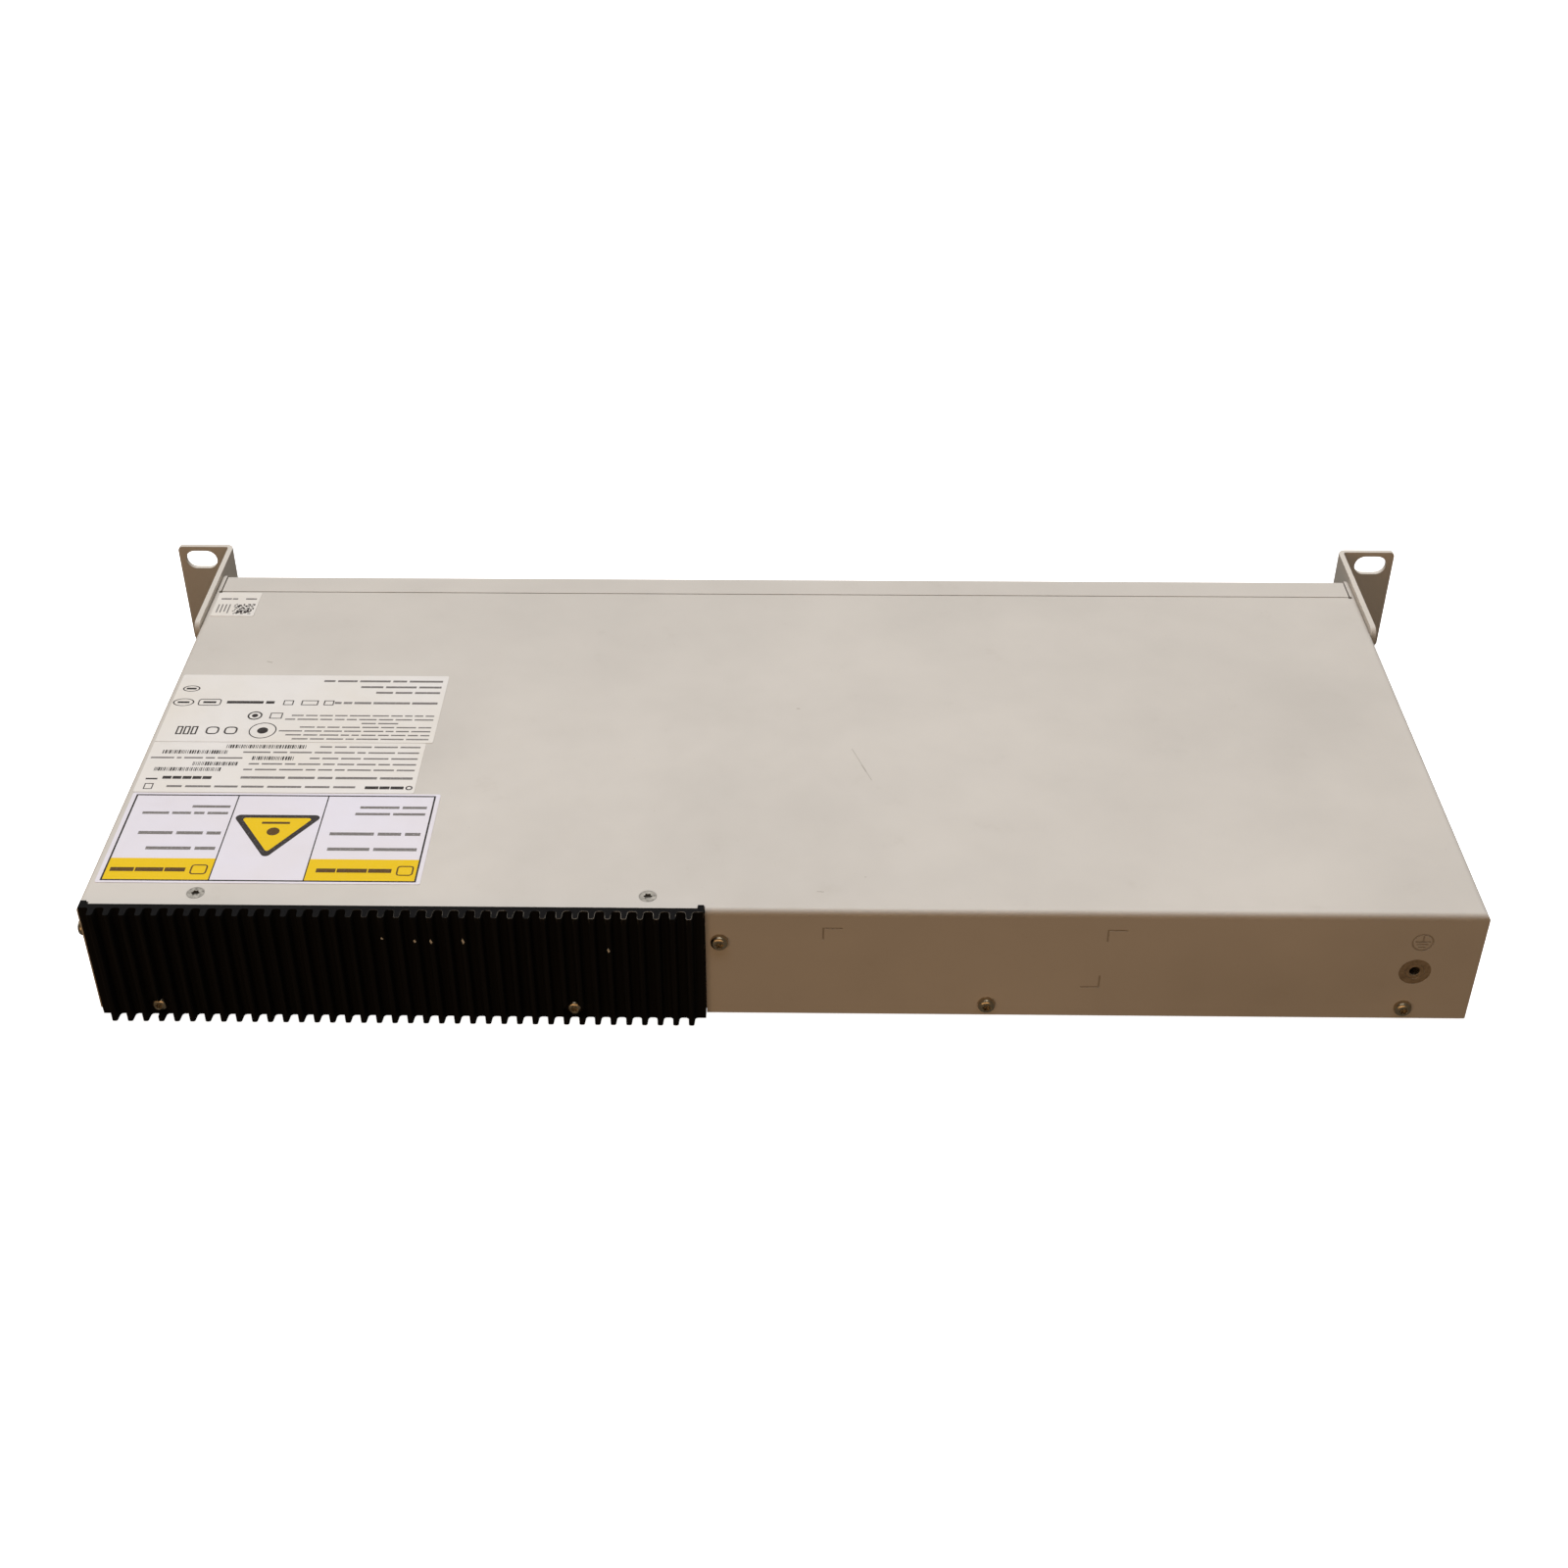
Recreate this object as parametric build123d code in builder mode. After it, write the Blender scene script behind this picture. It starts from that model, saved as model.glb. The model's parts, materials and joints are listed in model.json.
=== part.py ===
from build123d import *
import os

os.makedirs("parts", exist_ok=True)

# ---------------------------------------------------------------------------
# Driving dimensions, mm. +X is to the right seen from the front, the front
# panel faces -Y, the finned heat sink is at the back, and Z = 0 is the base.
# ---------------------------------------------------------------------------
panel_width = 482.6  # across both rack ears, the 19-inch panel width
body_width = 438.0
body_depth = 203.0  # front panel face to rear cover face
body_height = 42.6
ear_reach = 22.5  # the ears' faces stand this far in front of the front panel
fin_reach = 6.1  # the fin tips stand this far behind the rear cover face

tray_sheet = 1.2
cover_sheet = 1.0
ear_sheet = 2.0
fit_gap = 0.1  # between parts that lie against each other
cover_gap = 0.2  # between the cover and the tray inside it

front_y = ear_reach - (ear_reach + body_depth + fin_reach) / 2
rear_y = front_y + body_depth
half_body = body_width / 2

# Tray, boards and the height of everything that stands on them
tray_half = half_body - cover_sheet - cover_gap
wall_inner = tray_half - tray_sheet
wall_height = 38.0
strip_depth = 12.0  # the tray's folded strip on top, in front of the cover
strip_half = half_body - 2.7
bend_radius = 2.0  # outside radius of the cover's bends
tray_bend = 1.8
rear_flange_y = rear_y - cover_sheet - cover_gap
rear_flange_height = 12.0
standoff_height = 9.0
board_z = tray_sheet + standoff_height
board_thickness = 1.6
board_top = board_z + board_thickness

# Heat sink, at the back on the right
sink_low_x = 23.5
sink_high_x = half_body - cover_sheet - 0.5
sink_width = sink_high_x - sink_low_x
sink_mid_x = (sink_high_x + sink_low_x) / 2
sink_height = body_height + 1.3  # the heat sink stands a little above the cover
sink_inner_y = rear_y - cover_sheet - fit_gap
sink_face_y = rear_y + 2.4
fin_tip_y = rear_y + fin_reach
fin_count = 38
fin_pitch = 5.0
fin_tip_width = 1.7
fin_root_width = 2.3
sink_top_inside = body_height - cover_sheet - fit_gap
bend_clear_z = body_height - bend_radius - 0.2  # below the inside of the cover's bends
relief_width = 2.1  # the bend-relief notches at each end of the heat sink
relief_depth = 2.0
rib_half = 4.0
rib_y = rear_y - 6.8
rib_xs = (41.3, 183.1)
end_rib_x = sink_high_x - 8.0

# Screw positions
screw_z = 5.0
rear_screw_spots = ((18.9, 30.2), (-66.0, screw_z), (-198.3, screw_z))
sink_screw_xs = (65.4, 198.4)
side_screw_y = rear_y - 3.8
side_screw_z = 31.0
spreader_screw_spots = [(x, z) for x in (82.0, 162.0) for z in (26.0, 34.0)]
ground_x = -199.6
ground_z = 19.8
ground_bore = 1.65  # M4 thread
nut_shank = 2.9
bare_ring_depth = 0.12
bare_ring_radius = 5.0
ear_screw_ys = (front_y + 9.0, front_y + 30.0)
ear_screw_zs = (11.0, 33.0)
shank_radius = 1.5
tapped_radius = 1.55
large_shank = 1.95
large_hole = 2.05
top_sink_radius = 2.85  # the cover's countersinks, at its face and where they go on into the ribs
rib_sink_radius = 1.95

# Front panel: what is where, by the centre of each item
inlet_x = -184.0
inlet_z = 21.0
terminal_x = -134.0
jack_xs = (-58.0, -38.0, 50.0, 110.0, 170.0)
cage_xs = (24.0, 84.0, 144.0)
reset_x = -10.0
reset_z = board_top + 4.0
lamp_z = 31.0
lamp_xs = (-20.0, -14.0, -8.0, -2.0, 34.7, 39.3, 94.7, 99.3, 154.7, 159.3)
lamp_radius = 1.4
jack_width = 16.0
jack_height = 13.5
jack_depth = 21.5
cage_width = 14.4
cage_height = 9.8
cage_depth = 48.0
cage_sheet = 0.4


def save(part, name):
    """Labels one finished piece and writes it as its own STEP file."""
    part.label = name
    export_step(part, f"parts/{name}.step")


def box(low, high, mode=Mode.ADD):
    """A block between two corners, in the builder that is open."""
    middle = tuple((a + b) / 2 for a, b in zip(low, high))
    size = [b - a for a, b in zip(low, high)]
    with Locations(middle):
        return Box(*size, mode=mode)


def facing_front(x, y, z):
    """A plane at that point whose normal is -Y, towards whoever stands in front."""
    return Plane(origin=(x, y, z), x_dir=(1, 0, 0), z_dir=(0, -1, 0))


def facing_back(x, y, z):
    """A plane at that point whose normal is +Y."""
    return Plane(origin=(x, y, z), x_dir=(-1, 0, 0), z_dir=(0, 1, 0))


def facing_side(side, x, y, z):
    """A plane at that point whose normal is +X or -X."""
    return Plane(origin=(x, y, z), x_dir=(0, side, 0), z_dir=(side, 0, 0))


def copies(prototype, planes):
    """The same small piece set down on each plane, as one group of separate solids."""
    with BuildPart() as group:
        for plane in planes:
            with Locations(plane.location):
                add(prototype)
    return group.part


# ---------------------------------------------------------------------------
# Fasteners, each made once along +Z with its seat on Z = 0
# ---------------------------------------------------------------------------
def six_lobe_recess(size, top_z, depth):
    """Cuts a six-lobe driver recess of that tip radius down from top_z."""
    with BuildSketch(Plane.XY.offset(top_z)) as lobes:
        Circle(size * 0.74)
        with PolarLocations(size * 0.74, 6):
            Circle(size * 0.26)
    extrude(lobes.sketch, amount=-depth, mode=Mode.SUBTRACT)


def pan_screw(length, shank=shank_radius, head=2.8, height=2.1):
    """A pan-head screw: a domed head above the seat and a shank below it."""
    with BuildPart() as screw:
        with BuildSketch(Plane.XZ):
            with BuildLine():
                Polyline((0, height), (0, -length), (shank, -length), (shank, 0), (head, 0))
                Line((head, 0), (head, height * 0.3))
                ThreePointArc((head, height * 0.3), (head * 0.88, height * 0.78), (head * 0.56, height))
                Line((head * 0.56, height), (0, height))
            make_face()
        revolve(axis=Axis.Z)
        six_lobe_recess(head * 0.5, height, height * 0.6)
    return screw.part


def flat_screw(length, shank=shank_radius, head=2.75, depth=1.4):
    """A countersunk screw whose head is flush with Z = 0."""
    with BuildPart() as screw:
        with BuildSketch(Plane.XZ):
            with BuildLine():
                Polyline((0, 0), (0, -length), (shank, -length), (shank, -depth), (head, 0), close=True)
            make_face()
        revolve(axis=Axis.Z)
        six_lobe_recess(head * 0.5, 0, depth * 0.7)
    return screw.part


# ---------------------------------------------------------------------------
# Base tray: floor, front panel with its folded strip, side walls, rear flange
# ---------------------------------------------------------------------------
with BuildPart() as base_tray:
    with BuildSketch(Plane.YZ.offset(-tray_half)):
        with BuildLine():
            fold = FilletPolyline(
                (rear_flange_y, rear_flange_height),
                (rear_flange_y, 0),
                (front_y, 0),
                (front_y, body_height),
                (front_y + strip_depth, body_height),
                radius=tray_bend,
            )
            offset(fold, amount=tray_sheet, side=Side.RIGHT)
        make_face()
    extrude(amount=2 * tray_half)
    for side in (-1, 1):
        low_x, high_x = sorted((side * wall_inner, side * tray_half))
        box((low_x, front_y + 2.5, tray_sheet - 0.1), (high_x, rear_y - 9.0, wall_height))
        # the folded strip stops short of the cover's sides
        low_x, high_x = sorted((side * strip_half, side * (tray_half + 1)))
        box(
            (low_x, front_y - 1, wall_height + 1),
            (high_x, front_y + strip_depth + 1, body_height + 1),
            Mode.SUBTRACT,
        )
    # bent lower edges along both sides
    fillet(base_tray.edges().filter_by(Axis.Y).group_by(Axis.Z)[0], radius=tray_sheet - 0.1)
    # notches in the rear flange for the heat sink's ribs
    for x, half in ((rib_xs[0], rib_half), (rib_xs[1], rib_half), (tray_half, tray_half - end_rib_x)):
        box(
            (x - half - 0.6, rear_y - 3.5, tray_sheet + 0.05),
            (x + half + 0.6, rear_y, rear_flange_height + 1),
            Mode.SUBTRACT,
        )
    # tapped holes in the rear flange
    flange_xs = [x for x, z in rear_screw_spots if z == screw_z] + list(sink_screw_xs)
    for x in flange_xs:
        with BuildSketch(facing_back(x, rear_y, screw_z)):
            Circle(tapped_radius)
        extrude(amount=-4, mode=Mode.SUBTRACT)
    # holes for the ears' screws
    for side in (-1, 1):
        for y in ear_screw_ys:
            for z in ear_screw_zs:
                with BuildSketch(facing_side(side, side * (half_body - 0.5), y, z)):
                    Circle(large_hole)
                extrude(amount=-4, mode=Mode.SUBTRACT)
    # openings in the front panel
    panel_cut = 4.0
    with BuildSketch(facing_front(0, front_y - 1, 0)):
        with Locations(*[(x, board_top + jack_height / 2) for x in jack_xs]):
            Rectangle(jack_width + 0.4, jack_height + 0.4)
        with Locations(*[(x, board_top + cage_height / 2) for x in cage_xs]):
            Rectangle(cage_width + 0.6, cage_height + 0.6)
        with Locations((terminal_x, board_top + 6.5)):
            Rectangle(30.8, 13.4)
        with Locations(*[(x, lamp_z) for x in lamp_xs]):
            Circle(lamp_radius + 0.1)
        with Locations((reset_x, reset_z)):
            Circle(1.5)
        with Locations((inlet_x, inlet_z)):
            Rectangle(27.6, 20.2)
        with Locations((inlet_x - 20, inlet_z), (inlet_x + 20, inlet_z)):
            Circle(tapped_radius)
    extrude(amount=-panel_cut, mode=Mode.SUBTRACT)
save(base_tray.part, "base_tray")

# ---------------------------------------------------------------------------
# Top cover: top, both sides and the rear panel beside the heat sink
# ---------------------------------------------------------------------------
cover_bottom = 0.3
cover_front_y = front_y + 0.2
notch_y = front_y + strip_depth + 0.5  # where the top starts behind the strip
notch_half = strip_half + 0.5
mark_depth = 0.25
mark_width = 0.5

with BuildPart() as top_cover:
    box((-half_body, cover_front_y, cover_bottom), (half_body, rear_y, body_height))
    top_edges = top_cover.edges().group_by(Axis.Z)[-1].sort_by(Axis.Y)[1:]
    fillet(top_edges, radius=bend_radius)
    offset(
        amount=-cover_sheet,
        openings=[top_cover.faces().sort_by(Axis.Z)[0], top_cover.faces().sort_by(Axis.Y)[0]],
    )
    # the opening for the heat sink, with the top carried back over it
    box(
        (sink_low_x - 0.2, rear_y - relief_depth, cover_bottom - 1),
        (half_body - cover_sheet, rear_y + 1, body_height + 1),
        Mode.SUBTRACT,
    )
    box(
        (sink_low_x + relief_width, rear_y - relief_depth - 1, body_height - cover_sheet),
        (sink_high_x - relief_width, rear_y, body_height),
    )
    # the front notch for the tray's strip, with a relief hole in each corner
    box(
        (-notch_half, cover_front_y - 1, wall_height),
        (notch_half, notch_y, body_height + 1),
        Mode.SUBTRACT,
    )
    for side in (-1, 1):
        with BuildSketch(Plane.XY.offset(wall_height)):
            with Locations((side * (notch_half - 0.1), notch_y - 0.1)):
                Circle(0.8)
        extrude(amount=body_height - wall_height + 1, mode=Mode.SUBTRACT)
    # a seam where the left side tucks in behind the rear panel
    box(
        (-half_body - 1, rear_y - cover_sheet - 0.25, cover_bottom - 1),
        (-half_body + cover_sheet, rear_y - cover_sheet, body_height - bend_radius),
        Mode.SUBTRACT,
    )
    # countersunk holes over the heat sink's ribs, through the whole sheet
    for x in rib_xs:
        for z, radius in ((body_height, top_sink_radius), (body_height - cover_sheet, rib_sink_radius)):
            with BuildSketch(Plane.XY.offset(z)):
                with Locations((x, rib_y)):
                    Circle(radius)
        loft(mode=Mode.SUBTRACT)
    # screw holes and the ground hole in the rear panel
    with BuildSketch(facing_back(0, rear_y + 1, 0)):
        with Locations(*[(-x, z) for x, z in rear_screw_spots]):
            Circle(shank_radius + 0.1)
        with Locations((-ground_x, ground_z)):
            Circle(nut_shank + 0.1)
    extrude(amount=-3, mode=Mode.SUBTRACT)
    # the bare, unpainted ring that a ground lug is clamped against
    with BuildSketch(facing_back(ground_x, rear_y, ground_z)):
        Circle(bare_ring_radius)
    extrude(amount=-bare_ring_depth, mode=Mode.SUBTRACT)
    # side screw hole by the heat sink, and the ears' screw holes
    with BuildSketch(facing_side(1, half_body + 1, side_screw_y, side_screw_z)):
        Circle(shank_radius + 0.1)
    extrude(amount=-3, mode=Mode.SUBTRACT)
    for side in (-1, 1):
        for y in ear_screw_ys:
            for z in ear_screw_zs:
                with BuildSketch(facing_side(side, side * (half_body + 1), y, z)):
                    Circle(large_hole)
                extrude(amount=-3, mode=Mode.SUBTRACT)
    # stamped corner marks round two blank label areas, 88 x 24
    mark_low_z, mark_high_z = 12.2, 36.0
    area_lefts, area_width = (-13.3, -101.9), 88.0
    corners = [(left_x, mark_high_z, -1) for left_x in area_lefts]
    corners.append((area_lefts[0] - area_width, mark_low_z, 1))
    for corner_x, corner_z, into in corners:
        low_x, high_x = sorted((corner_x, corner_x + into * 6.2))
        low_z, high_z = sorted((corner_z, corner_z + into * 5.0))
        flat = sorted((corner_z, corner_z + into * mark_width))
        upright = sorted((corner_x, corner_x + into * mark_width))
        box((low_x, rear_y - mark_depth, flat[0]), (high_x, rear_y + 1, flat[1]), Mode.SUBTRACT)
        box((upright[0], rear_y - mark_depth, low_z), (upright[1], rear_y + 1, high_z), Mode.SUBTRACT)
    # stamped protective-earth symbol above the ground hole
    symbol_radius = 3.4
    with BuildSketch(facing_back(ground_x - 0.3, rear_y, ground_z + 12.1)):
        Circle(symbol_radius)
        Circle(symbol_radius - mark_width, mode=Mode.SUBTRACT)
        with Locations((0, 1.4)):
            Rectangle(mark_width, 2.4)
        for level, width in ((0.2, 4.8), (-0.9, 3.6), (-2.0, 2.2)):
            with Locations((0, level)):
                Rectangle(width, mark_width)
    extrude(amount=-mark_depth, mode=Mode.SUBTRACT)
save(top_cover.part, "top_cover")

# ---------------------------------------------------------------------------
# Rear heat sink: a finned aluminium extrusion with screw ribs on its inside
# ---------------------------------------------------------------------------
fin_xs = [sink_mid_x + fin_pitch * (i - (fin_count - 1) / 2) for i in range(fin_count)]

with BuildPart() as rear_heat_sink:
    with BuildSketch(Plane.XY) as section:
        with Locations((sink_mid_x, (sink_inner_y + sink_face_y) / 2)):
            Rectangle(sink_width, sink_face_y - sink_inner_y)
        for x in fin_xs:
            with BuildLine():
                Polyline(
                    (x - fin_root_width / 2, sink_face_y - 0.5),
                    (x - fin_tip_width / 2, fin_tip_y),
                    (x + fin_tip_width / 2, fin_tip_y),
                    (x + fin_root_width / 2, sink_face_y - 0.5),
                    close=True,
                )
            make_face()
        fillet(section.vertices().group_by(Axis.Y)[-1], radius=0.6)
        roots = section.vertices().filter_by(lambda v: abs(v.Y - sink_face_y) < 0.01)
        fillet(roots.sort_by(Axis.X)[1:-1], radius=1.0)
    extrude(amount=sink_height)
    # rebate under the rear edge of the cover, leaving a lug at each end
    box(
        (sink_low_x + relief_width - 0.2, sink_inner_y - 1, sink_top_inside),
        (sink_high_x - relief_width + 0.2, rear_y + 0.5, sink_height + 1),
        Mode.SUBTRACT,
    )
    # screw ribs, the thick end by the cover's side, and the wing behind the rear panel
    rib_bottom, rib_back_y = tray_sheet + 0.2, sink_inner_y + 0.5
    for x in rib_xs:
        box((x - rib_half, rib_y - rib_half, rib_bottom), (x + rib_half, rib_back_y, sink_top_inside))
    box((end_rib_x, rear_y - 8.0, rib_bottom), (sink_high_x, rib_back_y, bend_clear_z))
    box((12.0, sink_inner_y - 2.2, 14.0), (sink_low_x + 3, sink_inner_y, bend_clear_z))
    # pockets in the fins for the two lower screws, and their clearance holes
    for x in sink_screw_xs:
        with BuildSketch(facing_back(x, sink_face_y, screw_z)):
            Circle(3.5)
        extrude(amount=10, mode=Mode.SUBTRACT)
        with BuildSketch(facing_back(x, sink_face_y, screw_z)):
            Circle(shank_radius + 0.1)
        extrude(amount=-8, mode=Mode.SUBTRACT)
    # blind tapped holes for the heat spreader inside
    with BuildSketch(facing_front(0, sink_inner_y, 0)):
        with Locations(*spreader_screw_spots):
            Circle(tapped_radius)
    extrude(amount=-2.9, mode=Mode.SUBTRACT)
    # tapped holes: ribs from the top, the wing from the back, the end from the side
    for x in rib_xs:
        with Locations((x, rib_y, sink_top_inside)):
            CounterSinkHole(radius=tapped_radius, counter_sink_radius=rib_sink_radius, depth=12)
    with BuildSketch(facing_back(rear_screw_spots[0][0], rear_y, rear_screw_spots[0][1])):
        Circle(tapped_radius)
    extrude(amount=-6, mode=Mode.SUBTRACT)
    with BuildSketch(facing_side(1, half_body, side_screw_y, side_screw_z)):
        Circle(tapped_radius)
    extrude(amount=-9, mode=Mode.SUBTRACT)
save(rear_heat_sink.part, "rear_heat_sink")

# ---------------------------------------------------------------------------
# Rack ears: one bent bracket on each side, with two open rack slots
# ---------------------------------------------------------------------------
ear_bottom = 0.3
ear_height = 43.4
ear_face_y = front_y - ear_reach
ear_end_y = front_y + 38.5
slot_x = 465.12 / 2  # rack hole spacing
slot_spacing = 31.75
slot_length = 12.4
slot_height = 7.9
slot_mid_z = ear_bottom + ear_height / 2
ear_inner_x = half_body + 0.05


def rack_ear(side):
    """The bracket for one side: -1 is the left, +1 the right, seen from the front."""
    with BuildPart() as ear:
        with BuildSketch(Plane.XY.offset(ear_bottom)):
            with BuildLine():
                bend = FilletPolyline(
                    (side * ear_inner_x, ear_end_y),
                    (side * ear_inner_x, ear_face_y),
                    (side * panel_width / 2, ear_face_y),
                    radius=3.0,
                )
                offset(bend, amount=ear_sheet, side=Side.LEFT if side > 0 else Side.RIGHT)
            make_face()
        extrude(amount=ear_height)
        outer = ear.edges().filter_by(Axis.Y).filter_by(lambda e: abs(e.center().X) > panel_width / 2 - 0.1)
        fillet(outer, radius=1.8)
        back = ear.edges().filter_by(Axis.X).filter_by(lambda e: e.center().Y > ear_end_y - 0.1)
        fillet(back, radius=4.0)
        with BuildSketch(facing_front(side * slot_x, ear_face_y, slot_mid_z)):
            with GridLocations(1, slot_spacing, 1, 2):
                SlotOverall(slot_length, slot_height)
        extrude(amount=-ear_sheet * 2, mode=Mode.SUBTRACT)
        for y in ear_screw_ys:
            for z in ear_screw_zs:
                with Locations(facing_side(side, side * (ear_inner_x + ear_sheet), y, z).location):
                    CounterSinkHole(radius=large_hole, counter_sink_radius=3.9, depth=3)
    return ear.part


save(rack_ear(-1), "rack_ear_left")
save(rack_ear(1), "rack_ear_right")

# ---------------------------------------------------------------------------
# Screws of the enclosure, and the nuts that the ears and the ground screw use
# ---------------------------------------------------------------------------
cover_planes = [facing_back(x, rear_y, z) for x, z in rear_screw_spots]
cover_planes.append(facing_side(1, half_body, side_screw_y, side_screw_z))
save(copies(pan_screw(5), cover_planes), "cover_pan_screws")

sink_planes = [facing_back(x, sink_face_y, screw_z) for x in sink_screw_xs]
save(copies(pan_screw(8, head=2.5, height=1.9), sink_planes), "heat_sink_screws")

top_planes = [Plane(origin=(x, rib_y, body_height)) for x in rib_xs]
save(copies(flat_screw(8), top_planes), "cover_top_screws")

ear_planes = [
    facing_side(side, side * (ear_inner_x + ear_sheet), y, z)
    for side in (-1, 1)
    for y in ear_screw_ys
    for z in ear_screw_zs
]
save(copies(flat_screw(7.4, shank=large_shank, head=3.75, depth=1.8), ear_planes), "ear_screws")

with BuildPart() as clinch_nut:
    Cylinder(4.0, 3.0, align=(Align.CENTER, Align.CENTER, Align.MAX))
    with Locations((0, 0, 0)):
        Hole(large_hole)
nut_planes = [
    facing_side(side, side * wall_inner, y, z)
    for side in (-1, 1)
    for y in ear_screw_ys
    for z in ear_screw_zs
]
save(copies(clinch_nut.part, nut_planes), "ear_nuts")

with BuildPart() as ground_nut:
    with BuildSketch(facing_back(ground_x, rear_y - cover_sheet, ground_z)):
        RegularPolygon(4.2, 6)
    extrude(amount=-5.0)
    with BuildSketch(facing_back(ground_x, rear_y - bare_ring_depth, ground_z)):
        Circle(nut_shank)
    extrude(amount=-3)
    with BuildSketch(facing_back(ground_x, rear_y, ground_z)):
        Circle(ground_bore)
    extrude(amount=-8, mode=Mode.SUBTRACT)
    bore_edges = ground_nut.edges().filter_by(GeomType.CIRCLE).filter_by(lambda e: e.radius < nut_shank - 0.1)
    chamfer(bore_edges.sort_by(Axis.Y)[-1], length=0.3)
save(ground_nut.part, "ground_nut")

# ---------------------------------------------------------------------------
# Blank stick-on labels on top of the cover
# ---------------------------------------------------------------------------
label_thickness = 0.12
label_high_x = half_body - bend_radius - 0.3


def label(low_x, high_x, low_y, high_y, name):
    """A thin blank sticker with rounded corners, lying on the cover."""
    with BuildPart() as sticker:
        with BuildSketch(Plane.XY.offset(body_height)):
            with Locations(((low_x + high_x) / 2, (low_y + high_y) / 2)):
                RectangleRounded(high_x - low_x, high_y - low_y, 0.8)
        extrude(amount=label_thickness)
    save(sticker.part, name)


label(113.4, 216.3, rear_y - 59.5, rear_y - 11.6, "heat_label")
label(122.6, label_high_x, rear_y - 89.2, rear_y - 59.9, "serial_label")
label(120.4, label_high_x, rear_y - 131.7, rear_y - 89.4, "rating_label")
label(200.4, label_high_x, front_y + 13.2, front_y + 30.5, "asset_label")

# ---------------------------------------------------------------------------
# Circuit boards, insulation and what holds them. The main board fills the
# middle and the right; the L-shaped power board is on the left.
# ---------------------------------------------------------------------------
board_front_y = front_y + 3.0
board_rear_y = rear_y - 14.0
main_low_x, main_high_x = -104.0, 209.0
power_low_x, power_high_x = -208.0, -108.0
inlet_clear_x = -152.0  # the power board stays clear of the inlet, left of this
inlet_clear_y = front_y + 38.0
rear_post_y = rear_y - 21.0
main_posts = [
    (-97, front_y + 12),
    (-97, rear_post_y),
    (-22, front_y + 60),
    (60, rear_post_y),
    (202, front_y + 12),
    (202, rear_post_y),
]
power_posts = [(-201, front_y + 46), (-201, rear_post_y), (-115, rear_post_y), (-115, front_y + 30)]


def board(points, posts, name):
    """A circuit board of that outline, with a screw hole over each standoff."""
    with BuildPart() as card:
        with BuildSketch(Plane.XY.offset(board_z)):
            with BuildLine():
                Polyline(*points, close=True)
            make_face()
            with Locations(*posts):
                Circle(1.7, mode=Mode.SUBTRACT)
        extrude(amount=board_thickness)
    save(card.part, name)


main_outline = [
    (main_low_x, board_front_y),
    (main_high_x, board_front_y),
    (main_high_x, board_rear_y),
    (main_low_x, board_rear_y),
]
power_outline = [
    (inlet_clear_x, board_front_y),
    (power_high_x, board_front_y),
    (power_high_x, board_rear_y),
    (power_low_x, board_rear_y),
    (power_low_x, inlet_clear_y),
    (inlet_clear_x, inlet_clear_y),
]
board(main_outline, main_posts, "main_board")
board(power_outline, power_posts, "power_board")

with BuildPart() as standoff:
    with BuildSketch(Plane.XY.offset(tray_sheet)):
        RegularPolygon(3.1, 6)
        Circle(tapped_radius, mode=Mode.SUBTRACT)
    extrude(amount=standoff_height)
posts = main_posts + power_posts
save(copies(standoff.part, [Plane(origin=(x, y, 0)) for x, y in posts]), "board_standoffs")
save(copies(pan_screw(6), [Plane(origin=(x, y, board_top)) for x, y in posts]), "board_screws")

with BuildPart() as insulation_sheet:
    with BuildSketch(Plane.XY.offset(tray_sheet)):
        with BuildLine():
            Polyline(
                (power_low_x - 3, rear_y - 12),
                (power_high_x + 1.5, rear_y - 12),
                (power_high_x + 1.5, front_y + 6),
                (inlet_clear_x - 2, front_y + 6),
                (inlet_clear_x - 2, inlet_clear_y - 2),
                (power_low_x - 3, inlet_clear_y - 2),
                close=True,
            )
        make_face()
        with Locations(*power_posts):
            Circle(4.5, mode=Mode.SUBTRACT)
    extrude(amount=0.4)
save(insulation_sheet.part, "insulation_sheet")

# ---------------------------------------------------------------------------
# Front connectors
# ---------------------------------------------------------------------------
jack_mouth_y = front_y - 0.5
jack_mid_z = board_top + jack_height / 2

for number, x in enumerate(jack_xs, start=1):
    with BuildPart() as jack:
        with BuildSketch(facing_front(x, jack_mouth_y, jack_mid_z)):
            Rectangle(jack_width, jack_height)
        extrude(amount=-jack_depth)
        # the plug opening, with its stepped latch notch on top
        with BuildSketch(facing_front(x, jack_mouth_y, jack_mid_z)):
            with Locations((0, -1.2)):
                Rectangle(11.9, 6.9)
            with Locations((0, 3.1)):
                Rectangle(6.2, 1.8)
            with Locations((0, 4.5)):
                Rectangle(3.6, 1.2)
        extrude(amount=-14.0, mode=Mode.SUBTRACT)
    save(jack.part, f"ethernet_jack_{number}")

cage_mouth_y = front_y - 1.0
cage_rear_y = cage_mouth_y + cage_depth
socket_depth = 10.0
cage_half = cage_width / 2

for number, x in enumerate(cage_xs, start=1):
    with BuildPart() as cage:
        box((x - cage_half, cage_mouth_y, board_top), (x + cage_half, cage_rear_y, board_top + cage_height))
        box(
            (x - cage_half + cage_sheet, cage_mouth_y - 1, board_top + cage_sheet),
            (x + cage_half - cage_sheet, cage_rear_y - cage_sheet, board_top + cage_height - cage_sheet),
            Mode.SUBTRACT,
        )
        # open underneath at the back, where its socket stands on the board
        box(
            (x - cage_half + cage_sheet, cage_rear_y - socket_depth - 1.5, board_top - 1),
            (x + cage_half - cage_sheet, cage_rear_y - cage_sheet, board_top + 1),
            Mode.SUBTRACT,
        )
    save(cage.part, f"module_cage_{number}")

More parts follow.
